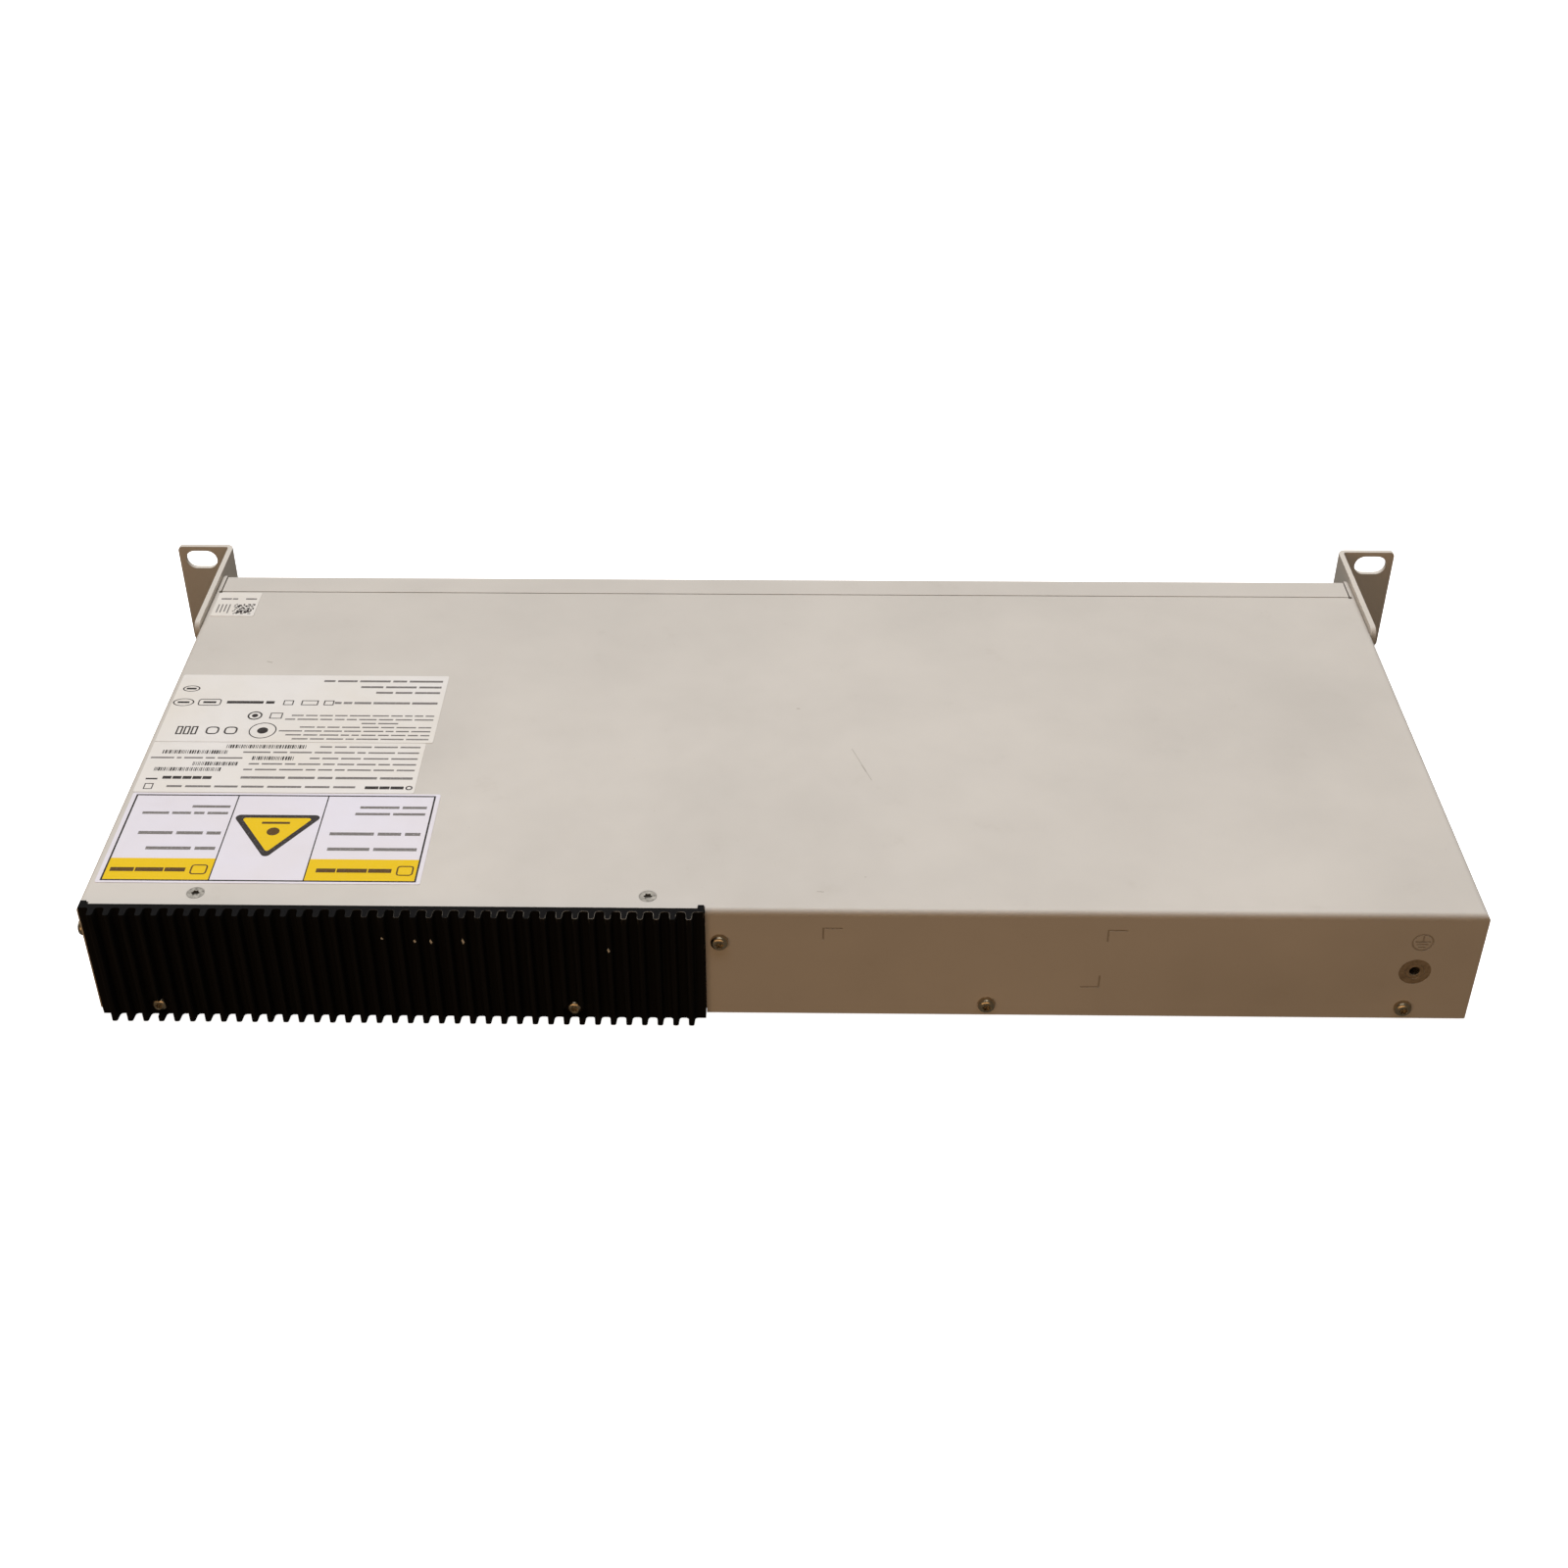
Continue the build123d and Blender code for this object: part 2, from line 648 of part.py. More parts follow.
socket_y = cage_rear_y - 1.0 - socket_depth
with BuildPart() as module_sockets:
    for x in cage_xs:
        box((x - 6.2, socket_y, board_top), (x + 6.2, socket_y + socket_depth, board_top + 6.4))
        box((x - 4.9, socket_y - 1, board_top + 3.0), (x + 4.9, socket_y + 6, board_top + 4.2), Mode.SUBTRACT)
save(module_sockets.part, "module_sockets")

# The appliance inlet: a flanged housing with an open socket, three blades and two screws
inlet_flange = 2.6
inlet_face_y = front_y - inlet_flange
blade_spots = ((-7, -2.2), (7, -2.2), (0, 1.8))
inlet_screw_xs = (inlet_x - 20, inlet_x + 20)

with BuildPart() as power_inlet:
    with BuildSketch(facing_front(inlet_x, front_y, inlet_z)):
        RectangleRounded(50, 24, 6)
    extrude(amount=inlet_flange)
    with BuildSketch(facing_front(inlet_x, front_y, inlet_z)):
        Rectangle(27.2, 19.8)
    extrude(amount=-18.0)
    with BuildSketch(facing_front(inlet_x, inlet_face_y, inlet_z)) as socket_face:
        Rectangle(24.6, 16.6)
        chamfer(socket_face.vertices().group_by(Axis.Z)[-1], 3.6)
    extrude(amount=-15.0, mode=Mode.SUBTRACT)
    for x in inlet_screw_xs:
        with Locations(facing_front(x, inlet_face_y, inlet_z).location):
            CounterSinkHole(radius=shank_radius + 0.1, counter_sink_radius=2.95, depth=3)
    # seats for the blades
    with BuildSketch(facing_front(inlet_x, front_y, inlet_z)):
        with Locations(*blade_spots):
            Rectangle(2.0, 4.0)
    extrude(amount=-19.0, mode=Mode.SUBTRACT)
save(power_inlet.part, "power_inlet")

tab_end_y = front_y + 26.0
with BuildPart() as inlet_blades:
    for across, up in blade_spots:
        x, z = inlet_x + across, inlet_z + up
        box((x - 1.0, front_y + 1.0, z - 2.0), (x + 1.0, front_y + 18.0, z + 2.0))
        box((x - 0.4, front_y + 18.0, z - 2.0), (x + 0.4, tab_end_y, z + 2.0))
save(inlet_blades.part, "inlet_blades")
save(copies(flat_screw(7), [facing_front(x, inlet_face_y, inlet_z) for x in inlet_screw_xs]), "inlet_screws")

# The terminal block for direct current, with a clamp screw above each wire entry
terminal_half = 15.0
terminal_face_y = front_y - 3.0
clamp_z = board_top + 9.0
terminal_xs = [terminal_x + 8.0 * i for i in (-1, 0, 1)]
with BuildPart() as terminal_block:
    box(
        (terminal_x - terminal_half, terminal_face_y, board_top),
        (terminal_x + terminal_half, front_y + 14, board_top + 13),
    )
    for x in terminal_xs:
        box(
            (x - 1.9, terminal_face_y - 1, board_top + 1.6),
            (x + 1.9, front_y + 10, board_top + 5.2),
            Mode.SUBTRACT,
        )
        with BuildSketch(facing_front(x, terminal_face_y, clamp_z)):
            Circle(2.3)
        extrude(amount=-6, mode=Mode.SUBTRACT)
save(terminal_block.part, "terminal_block")

with BuildPart() as clamp_screw:
    Cylinder(2.1, 3.0, align=(Align.CENTER, Align.CENTER, Align.MAX))
    Box(5, 0.7, 1.6, mode=Mode.SUBTRACT)
save(copies(clamp_screw.part, [facing_front(x, front_y, clamp_z) for x in terminal_xs]), "terminal_screws")

# Status lamps on the board, and the clear pipes that carry their light to the panel
pipe_y = front_y + 12.0
pipe_face_y = front_y - 0.4
with BuildPart() as status_lamps:
    for x in lamp_xs:
        box((x - 0.8, pipe_y - 1.0, board_top), (x + 0.8, pipe_y + 1.0, board_top + 1.0))
save(status_lamps.part, "status_lamps")


def tube(points, radius, bend):
    """A round rod or wire along straight runs joined by tangent arcs."""
    with BuildPart() as rod:
        with BuildLine() as route:
            FilletPolyline(*points, radius=bend)
        with BuildSketch(Plane(origin=route.line @ 0, z_dir=route.line % 0)):
            Circle(radius)
        sweep()
    return rod.part


pipe_route = [(0, pipe_face_y, lamp_z), (0, pipe_y, lamp_z), (0, pipe_y, board_top + 1.3)]
light_pipe = tube(pipe_route, lamp_radius, 3.0)
save(copies(light_pipe, [Plane(origin=(x, 0, 0)) for x in lamp_xs]), "light_pipes")

# The reset button: a recessed sprung plunger in a small switch behind the panel
switch_y = front_y + tray_sheet + 0.3
with BuildPart() as reset_switch:
    box((reset_x - 3, switch_y, board_top), (reset_x + 3, switch_y + 6, reset_z + 4))
    with BuildSketch(facing_front(reset_x, switch_y, reset_z)):
        Circle(1.25)
    extrude(amount=-4.0, mode=Mode.SUBTRACT)
    with BuildSketch(facing_front(reset_x, switch_y + 1.0, reset_z)):
        Circle(1.95)
    extrude(amount=-1.6, mode=Mode.SUBTRACT)
save(reset_switch.part, "reset_switch")

with BuildPart() as reset_button:
    with BuildSketch(facing_front(reset_x, front_y + 0.3, reset_z)):
        Circle(1.1)
    extrude(amount=-4.2)
    with BuildSketch(facing_front(reset_x, switch_y + 1.1, reset_z)):
        Circle(1.75)
    extrude(amount=-0.8)
save(reset_button.part, "reset_button")

# ---------------------------------------------------------------------------
# On the main board: chips, memory, line transformers, clock cell, heat spreader
# ---------------------------------------------------------------------------
chip_y = rear_y - 62.0
switch_chip_x, processor_x = 96.0, 146.0
lid_base, chip_height = 1.2, 2.4
pad_z = board_top + chip_height
pad_thickness = 0.6


def chip(x, carrier_half, lid_half, name):
    """A large chip: a square carrier with a raised metal lid."""
    with BuildPart() as package:
        with BuildSketch(Plane.XY.offset(board_top)):
            with Locations((x, chip_y)):
                Rectangle(2 * carrier_half, 2 * carrier_half)
        extrude(amount=lid_base)
        with BuildSketch(Plane.XY.offset(board_top + lid_base)):
            with Locations((x, chip_y)):
                Rectangle(2 * lid_half, 2 * lid_half)
        extrude(amount=chip_height - lid_base)
    save(package.part, name)


chip(switch_chip_x, 15.5, 12.0, "switch_chip")
chip(processor_x, 13.5, 10.0, "processor_chip")

with BuildPart() as thermal_pads:
    for x, half in ((switch_chip_x, 12), (processor_x, 10)):
        box((x - half, chip_y - half, pad_z), (x + half, chip_y + half, pad_z + pad_thickness))
save(thermal_pads.part, "thermal_pads")

spreader_z = pad_z + pad_thickness
foot_y = sink_inner_y - 4.0
with BuildPart() as heat_spreader:
    with BuildSketch(Plane.YZ.offset(72.0)):
        with BuildLine():
            Polyline(
                (chip_y - 20, spreader_z),
                (sink_inner_y, spreader_z),
                (sink_inner_y, 38),
                (foot_y, 38),
                (foot_y, spreader_z + 5),
                (chip_y - 20, spreader_z + 5),
                close=True,
            )
        make_face()
    extrude(amount=100.0)
    with BuildSketch(facing_front(0, foot_y, 0)):
        with Locations(*spreader_screw_spots):
            Circle(shank_radius + 0.1)
    extrude(amount=-5, mode=Mode.SUBTRACT)
save(heat_spreader.part, "heat_spreader")
spreader_planes = [facing_front(x, foot_y, z) for x, z in spreader_screw_spots]
save(copies(pan_screw(6.5), spreader_planes), "spreader_screws")


def blocks(spots, name):
    """A group of plain rectangular components on the boards: x, y, width, depth, height."""
    with BuildPart() as group:
        for x, y, width, depth, height in spots:
            with Locations((x, y, board_top)):
                Box(width, depth, height, align=(Align.CENTER, Align.CENTER, Align.MIN))
    save(group.part, name)


memory_spots = [(188, chip_y - 16), (188, chip_y), (188, chip_y + 16), (54, chip_y + 8), (54, chip_y - 8)]
small_chips = [(x, y, 11, 13, 1.2) for x, y in memory_spots]
small_chips += [(x, front_y + 57, 14, 14, 1.4) for x in (-48, 67, 127)]
blocks(small_chips, "small_chips")
blocks([(x, front_y + 33, 15.2, 12, 5.6) for x in jack_xs], "line_transformers")

cell_x, cell_y = -70.0, rear_y - 40.0
cell_z = board_top + 1.2
with BuildPart() as cell_holder:
    with BuildSketch(Plane((cell_x, cell_y, board_top))):
        Circle(12.0)
    extrude(amount=4.6)
    with BuildSketch(Plane((cell_x, cell_y, cell_z))):
        Circle(10.2)
    extrude(amount=5.0, mode=Mode.SUBTRACT)
    box((cell_x - 4, cell_y - 14, cell_z), (cell_x + 4, cell_y - 8, cell_z + 5), Mode.SUBTRACT)
save(cell_holder.part, "cell_holder")

with BuildPart() as clock_cell:
    with BuildSketch(Plane((cell_x, cell_y, cell_z))):
        Circle(10.0)
    extrude(amount=3.2)
    chamfer(clock_cell.edges().group_by(Axis.Z)[-1], 0.5)
save(clock_cell.part, "clock_cell")

# ---------------------------------------------------------------------------
# On the power board: fuse, filter, transformer, transistors, capacitors, leads
# ---------------------------------------------------------------------------
def can(radius, height):
    """An upright electrolytic capacitor, with the rolled groove near its base."""
    with BuildPart() as body:
        with BuildSketch(Plane.XZ):
            with BuildLine():
                Polyline(
                    (0, 0),
                    (radius, 0),
                    (radius, 1.4),
                    (radius - 0.4, 2.0),
                    (radius, 2.6),
                    (radius, height - 0.6),
                    (radius - 0.6, height),
                    (0, height),
                    close=True,
                )
            make_face()
        revolve(axis=Axis.Z)
    return body.part


def on_board(x, y):
    return Plane(origin=(x, y, board_top))


large_can, small_can = can(8, 25), can(5, 20)
with BuildPart() as capacitors:
    for x in (-196, -176):
        with Locations(on_board(x, front_y + 92).location):
            add(large_can)
    for x in (-120, -133, -146):
        with Locations(on_board(x, front_y + 160).location):
            add(small_can)
save(capacitors.part, "capacitors")

with BuildPart() as power_transformer:
    box((-160, front_y + 78, board_top), (-130, front_y + 106, board_top + 3))
    box((-156, front_y + 81, board_top + 3), (-134, front_y + 103, board_top + 20))
    box((-162, front_y + 86, board_top + 5), (-128, front_y + 98, board_top + 22))
save(power_transformer.part, "power_transformer")

choke_x, choke_y = -190.0, front_y + 64.0
with BuildPart() as filter_choke:
    with Locations(Plane(origin=(choke_x, choke_y, board_top + 11.8), z_dir=(1, 0, 0)).location):
        Torus(8.0, 3.4)
    box((choke_x - 5, choke_y - 10, board_top), (choke_x + 5, choke_y + 10, board_top + 2))
save(filter_choke.part, "filter_choke")

with BuildPart() as filter_capacitor:
    box((-174, front_y + 54, board_top), (-162, front_y + 72, board_top + 15))
    fillet(filter_capacitor.edges().filter_by(Axis.Z), radius=1.2)
save(filter_capacitor.part, "filter_capacitor")

fuse_y, fuse_z = front_y + 52.0, board_top + 5.0
with BuildPart() as line_fuse:
    with BuildSketch(Plane.YZ.offset(-148)):
        with Locations((fuse_y, fuse_z)):
            Circle(2.6)
    extrude(amount=20)
save(line_fuse.part, "line_fuse")
with BuildPart() as fuse_clips:
    for x in (-146.5, -129.5):
        box((x - 2.5, fuse_y - 3.4, board_top), (x + 2.5, fuse_y + 3.4, fuse_z + 1.5))
    with BuildSketch(Plane.YZ.offset(-155)):
        with Locations((fuse_y, fuse_z)):
            Circle(2.6)
        with Locations((fuse_y, fuse_z + 2.6)):
            Rectangle(4.0, 5.2)
    extrude(amount=35, mode=Mode.SUBTRACT)
save(fuse_clips.part, "fuse_clips")

bar_y = front_y + 120.0
with BuildPart() as transistor_heat_bar:
    box((-204, bar_y, board_top), (-164, bar_y + 3, board_top + 24))
save(transistor_heat_bar.part, "transistor_heat_bar")
with BuildPart() as power_transistors:
    for x in (-198, -184, -170):
        box((x - 5, bar_y - 4.6, board_top + 4), (x + 5, bar_y, board_top + 20))
        for leg in (-2.54, 0, 2.54):
            box((x + leg - 0.4, bar_y - 2.8, board_top), (x + leg + 0.4, bar_y - 2.2, board_top + 4))
save(power_transistors.part, "power_transistors")

# a drum core: a winding between two wider flanges
with BuildPart() as output_inductor:
    for base, radius, height in ((0.0, 9.0, 2.0), (0.0, 7.6, 12.0), (12.0, 9.0, 2.0)):
        with BuildSketch(Plane((-184, front_y + 150, board_top + base))):
            Circle(radius)
        extrude(amount=height)
save(output_inductor.part, "output_inductor")

# The lead that joins the two boards: a header and a plug on each, five wires between
lead_y = front_y + 130.0
lead_xs = (-116.0, -94.0)
lead_wires = [lead_y + 3.96 * i for i in range(-2, 3)]
header_height, plug_height = 6.0, 7.0
connector_y, connector_height = front_y + 44.0, 8.0
headers = [(x, lead_y, 8, 22, header_height) for x in lead_xs]
headers.append((inlet_x, connector_y, 24, 8, connector_height))
blocks(headers, "wire_headers")
plug_z = board_top + header_height
with BuildPart() as lead_plugs:
    for x in lead_xs:
        box((x - 3.4, lead_y - 10.4, plug_z), (x + 3.4, lead_y + 10.4, plug_z + plug_height))
save(lead_plugs.part, "lead_plugs")
wire_z = plug_z + plug_height
lead_top = wire_z + 10
board_wire = tube(
    [(lead_xs[0], 0, wire_z), (lead_xs[0], 0, lead_top), (lead_xs[1], 0, lead_top), (lead_xs[1], 0, wire_z)],
    0.9,
    6.0,
)
save(copies(board_wire, [Plane(origin=(0, y, 0)) for y in lead_wires]), "board_lead")

# The three wires from the inlet's tabs over to their header on the power board
turn_y = tab_end_y + 6.0
route_z = 32.0
inlet_wires = []
for across, up in blade_spots:
    x, z = inlet_x + across, inlet_z + up
    route = [
        (x, tab_end_y, z),
        (x, turn_y, z),
        (x, turn_y, route_z),
        (x, connector_y, route_z),
        (x, connector_y, board_top + connector_height),
    ]
    inlet_wires.append(tube(route, 1.2, 2.9))
with BuildPart() as inlet_leads:
    for wire in inlet_wires:
        add(wire)
save(inlet_leads.part, "inlet_leads")
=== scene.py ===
"""A slim rack network appliance, seen from behind and above, on a pale studio floor.

The CAD frame gives every metal and plastic part. This script adds their materials, the print on
the labels, the contacts and spring fingers in the ports, small marks of use, some painted shade,
painted light and painted highlights, light and camera.
Lengths on the part are in millimetres and turned into metres by MM. The camera, the floor and the
lights are placed in metres.
"""

import json
import math
import random

import bmesh
import bpy
from mathutils import Matrix, Vector


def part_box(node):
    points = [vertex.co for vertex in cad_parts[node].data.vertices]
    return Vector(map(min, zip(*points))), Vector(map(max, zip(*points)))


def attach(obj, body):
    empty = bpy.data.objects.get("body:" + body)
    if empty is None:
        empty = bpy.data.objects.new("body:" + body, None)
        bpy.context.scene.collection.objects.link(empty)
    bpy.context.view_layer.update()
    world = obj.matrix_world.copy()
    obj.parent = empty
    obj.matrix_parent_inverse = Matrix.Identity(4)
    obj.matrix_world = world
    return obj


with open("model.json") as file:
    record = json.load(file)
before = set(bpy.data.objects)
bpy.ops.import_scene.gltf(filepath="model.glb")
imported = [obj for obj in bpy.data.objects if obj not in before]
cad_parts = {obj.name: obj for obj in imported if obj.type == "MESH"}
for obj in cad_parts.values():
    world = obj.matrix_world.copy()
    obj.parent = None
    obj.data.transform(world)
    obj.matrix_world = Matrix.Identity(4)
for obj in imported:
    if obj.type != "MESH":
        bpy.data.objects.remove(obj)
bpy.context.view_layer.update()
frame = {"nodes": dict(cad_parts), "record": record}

MM = 0.001
BODY = "chassis"
NODES = frame["nodes"]


def corners(node):
    """A CAD node's lowest and highest corners, in millimetres."""
    low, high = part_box(node)
    return low / MM, high / MM


COVER_HIGH = corners("top_cover")[1]
PANEL_Y = corners("base_tray")[0].y
REAR_Y = COVER_HIGH.y
TOP_Z = COVER_HIGH.z
SINK_HIGH = corners("rear_heat_sink")[1]
GROUND_LOW, GROUND_HIGH = corners("ground_nut")
GROUND_X = (GROUND_LOW.x + GROUND_HIGH.x) / 2
GROUND_Z = (GROUND_LOW.z + GROUND_HIGH.z) / 2


# ---------------------------------------------------------------------------
# Camera, at the photograph's viewing angle
# ---------------------------------------------------------------------------
def make_camera():
    place = Vector((-0.0018, 0.6021, 0.4485))
    yaw, pitch, roll = math.radians(-1.056), math.radians(36.158), math.radians(-0.240)
    ahead = Vector((-math.sin(yaw) * math.cos(pitch), -math.cos(yaw) * math.cos(pitch), -math.sin(pitch)))
    right = ahead.cross(Vector((0, 0, 1))).normalized()
    up = right.cross(ahead)
    right, up = (
        right * math.cos(roll) + up * math.sin(roll),
        up * math.cos(roll) - right * math.sin(roll),
    )
    data = bpy.data.cameras.new("camera")
    data.sensor_width = 36.0
    data.lens = 47.30
    data.shift_x = 0.0179
    data.shift_y = 0.0043
    data.clip_start = 0.02
    data.clip_end = 50.0
    camera = bpy.data.objects.new("camera", data)
    turn = Matrix((right, up, -ahead)).transposed().to_4x4()
    camera.matrix_world = Matrix.Translation(place) @ turn
    bpy.context.scene.collection.objects.link(camera)
    bpy.context.scene.camera = camera


# ---------------------------------------------------------------------------
# Materials: a small helper, then one function for each kind of surface
# ---------------------------------------------------------------------------
def srgb(red, green, blue):
    """A colour given as 0 to 255 display values, as the linear RGBA that a shader takes."""
    linear = [((c / 255 + 0.055) / 1.055) ** 2.4 if c > 10 else c / 255 / 12.92 for c in (red, green, blue)]
    return (*linear, 1.0)


class Surface:
    """One material's node tree, built call by call around its Principled shader."""

    def __init__(self, name, colour, roughness, metallic=0.0, specular=0.5):
        self.material = bpy.data.materials.new(name)
        self.material.use_nodes = True
        self.tree = self.material.node_tree
        self.shader = self.tree.nodes["Principled BSDF"]
        self.shader.inputs["Base Color"].default_value = colour
        self.shader.inputs["Roughness"].default_value = roughness
        self.shader.inputs["Metallic"].default_value = metallic
        self.shader.inputs["Specular IOR Level"].default_value = specular
        self.place = self.node("ShaderNodeTexCoord").outputs["Object"]

    def node(self, kind, **settings):
        made = self.tree.nodes.new(kind)
        for key, value in settings.items():
            setattr(made, key, value)
        return made

    def join(self, source, target):
        self.tree.links.new(source, target)

    def stretched(self, x, y, z):
        """The object's own coordinates in metres, scaled unevenly for streaks."""
        scale = self.node("ShaderNodeVectorMath", operation="MULTIPLY")
        scale.inputs[1].default_value = (x, y, z)
        self.join(self.place, scale.inputs[0])
        return scale.outputs[0]

    def noise(self, scale, detail=3.0, roughness=0.55, vector=None):
        texture = self.node("ShaderNodeTexNoise")
        texture.inputs["Scale"].default_value = scale
        texture.inputs["Detail"].default_value = detail
        texture.inputs["Roughness"].default_value = roughness
        self.join(vector or self.place, texture.inputs["Vector"])
        return texture.outputs["Fac"]

    def band(self, value, low, high, out_low=0.0, out_high=1.0):
        """Maps value from low..high to out_low..out_high, held at both ends."""
        span = self.node("ShaderNodeMapRange")
        for index, number in enumerate((low, high, out_low, out_high), start=1):
            span.inputs[index].default_value = number
        self.join(value, span.inputs[0])
        return span.outputs[0]

    def math(self, operation, first, second):
        made = self.node("ShaderNodeMath", operation=operation)
        for index, value in enumerate((first, second)):
            if isinstance(value, float):
                made.inputs[index].default_value = value
            else:
                self.join(value, made.inputs[index])
        return made.outputs[0]

    def mix(self, factor, first, second):
        made = self.node("ShaderNodeMix", data_type="RGBA")
        if isinstance(factor, float):
            made.inputs["Factor"].default_value = factor
        else:
            self.join(factor, made.inputs["Factor"])
        for socket, value in ((made.inputs[6], first), (made.inputs[7], second)):
            if isinstance(value, tuple):
                socket.default_value = value
            else:
                self.join(value, socket)
        return made.outputs[2]

    def edges(self, radius):
        """1 on convex and concave edges narrower than radius, 0 on flat faces."""
        soft = self.node("ShaderNodeBevel", samples=4)
        soft.inputs["Radius"].default_value = radius * MM
        plain = self.node("ShaderNodeNewGeometry").outputs["Normal"]
        dot = self.node("ShaderNodeVectorMath", operation="DOT_PRODUCT")
        self.join(soft.outputs[0], dot.inputs[0])
        self.join(plain, dot.inputs[1])
        return self.band(dot.outputs["Value"], 0.995, 0.90)

    def paint(self, colour, roughness=None):
        for value, socket in ((colour, "Base Color"), (roughness, "Roughness")):
            if value is not None:
                self.join(value, self.shader.inputs[socket])

    def bump(self, height, strength, distance, soft_edge=None):
        """Bump from a height value; distance and the rounded edge's radius are in millimetres."""
        made = self.node("ShaderNodeBump")
        made.inputs["Strength"].default_value = strength
        made.inputs["Distance"].default_value = distance * MM
        self.join(height, made.inputs["Height"])
        if soft_edge:
            bevel = self.node("ShaderNodeBevel", samples=4)
            bevel.inputs["Radius"].default_value = soft_edge * MM
            self.join(bevel.outputs[0], made.inputs["Normal"])
        self.join(made.outputs[0], self.shader.inputs["Normal"])


def powder_coat(name, colour, wear=0.5):
    """Fine-textured light paint with faint blotches, and steel showing on the worn edges."""
    s = Surface(name, colour, 0.5, specular=0.35)
    darker = tuple(c * 0.94 for c in colour[:3]) + (1.0,)
    lighter = tuple(min(1.0, c * 1.05) for c in colour[:3]) + (1.0,)
    blotch = s.mix(s.band(s.noise(14, 4), 0.35, 0.7), lighter, darker)
    smudge = s.band(s.noise(55, 6, 0.7), 0.62, 0.80, 0.0, 0.22)
    grimy = tuple(c * f for c, f in zip(colour[:3], (0.72, 0.68, 0.62))) + (1.0,)
    tinted = s.mix(smudge, blotch, grimy)
    speck = s.band(s.noise(900, 2), 0.73, 0.79, 0.0, 0.35)
    tinted = s.mix(speck, tinted, grimy)
    worn = s.math("MULTIPLY", s.edges(0.35), s.band(s.noise(260, 4, 0.65), 0.52, 0.66, 0.0, wear))
    s.paint(
        colour=s.mix(worn, tinted, srgb(150, 145, 138)),
        roughness=s.band(s.noise(120, 3), 0.3, 0.7, 0.46, 0.60),
    )
    grain = s.math("ADD", s.noise(2600, 2), s.math("MULTIPLY", s.noise(700, 2), 0.6))
    s.bump(grain, 0.16, 0.06, soft_edge=0.22)
    return s.material


def anodised(name, highlight_from, highlight_to):
    """Black anodised extrusion: faint die lines along Z and a dull sheen.

    Its edges are chipped to bare metal at random, and its top edges carry a painted highlight in that pale
    metal colour, more and more from the first X given to the second, in millimetres.
    """
    s = Surface(name, srgb(23, 23, 23), 0.5, specular=0.012)
    lines = s.noise(1.0, 3, 0.6, s.stretched(1500, 1500, 18))
    shade = s.mix(s.band(lines, 0.3, 0.7), srgb(19, 19, 20), srgb(28, 27, 27))
    dust = s.band(s.noise(90, 5, 0.7), 0.60, 0.85, 0.0, 0.05)
    shade = s.mix(dust, shade, srgb(84, 76, 66))
    edge = s.edges(0.16)
    chips_and_glints = s.math("MULTIPLY", edge, s.band(s.noise(210, 4, 0.6), 0.66, 0.70, 0.0, 0.75))
    axes = s.node("ShaderNodeSeparateXYZ")
    s.join(s.place, axes.inputs[0])
    # painted highlight: a pale bare-metal colour on the top edges, strongest towards the second X, where
    # those edges catch the light
    high_up = s.band(axes.outputs["Z"], (SINK_HIGH.z - 2.6) * MM, (SINK_HIGH.z - 1.2) * MM)
    along = s.band(axes.outputs["X"], highlight_from * MM, highlight_to * MM)
    top_edge_highlight = s.math("MULTIPLY", s.math("MULTIPLY", s.edges(0.32), high_up), along)
    top_edge_highlight = s.math("MULTIPLY", top_edge_highlight, s.band(s.noise(240, 3), 0.40, 0.56, 0.0, 0.95))
    chips_and_highlight = s.math("MAXIMUM", chips_and_glints, top_edge_highlight)
    s.paint(
        colour=s.mix(chips_and_highlight, shade, srgb(176, 168, 156)),
        roughness=s.band(lines, 0.3, 0.7, 0.45, 0.62),
    )
    s.bump(lines, 0.10, 0.04, soft_edge=0.12)
    return s.material


def bare_metal(name, colour, roughness=0.35, dirt=0.25, grain=(600, 600, 600), metallic=1.0):
    """Plated or milled metal with fine scratches and a little dirt."""
    s = Surface(name, colour, roughness, metallic=metallic)
    darker = tuple(c * 0.62 for c in colour[:3]) + (1.0,)
    scratches = s.noise(1.0, 4, 0.6, s.stretched(*grain))
    grime = s.band(s.noise(450, 5, 0.7), 0.55, 0.75, 0.0, dirt)
    tone = s.mix(s.band(scratches, 0.3, 0.7), colour, darker)
    s.paint(
        colour=s.mix(grime, tone, srgb(52, 44, 36)),
        roughness=s.band(scratches, 0.3, 0.75, roughness * 0.8, min(1.0, roughness * 1.35)),
    )
    s.bump(scratches, 0.12, 0.03, soft_edge=0.1)
    return s.material


def plastic(name, colour, roughness=0.42):
    """Moulded plastic with a fine spark-eroded grain."""
    s = Surface(name, colour, roughness, specular=0.45)
    lighter = tuple(min(1.0, c * 1.3 + 0.004) for c in colour[:3]) + (1.0,)
    s.paint(
        colour=s.mix(s.band(s.noise(160, 4), 0.35, 0.75), colour, lighter),
        roughness=s.band(s.noise(300, 3), 0.3, 0.7, roughness * 0.85, roughness * 1.15),
    )
    s.bump(s.noise(1800, 2), 0.12, 0.04, soft_edge=0.12)
    return s.material


def film(name, colour):
    """Satin polyester sticker: slightly uneven white, faint yellowing and scuffs."""
    s = Surface(name, colour, 0.38, specular=0.4)
    aged = tuple(c * f for c, f in zip(colour[:3], (0.97, 0.95, 0.90))) + (1.0,)
    tone = s.mix(s.band(s.noise(30, 4), 0.35, 0.7), colour, aged)
    scuff = s.band(s.noise(75, 6, 0.75), 0.68, 0.85, 0.0, 0.30)
    s.paint(
        colour=s.mix(scuff, tone, srgb(150, 146, 142)),
        roughness=s.band(s.noise(200, 3), 0.3, 0.7, 0.30, 0.46),
    )
    s.bump(s.noise(120, 3), 0.10, 0.05)
    return s.material


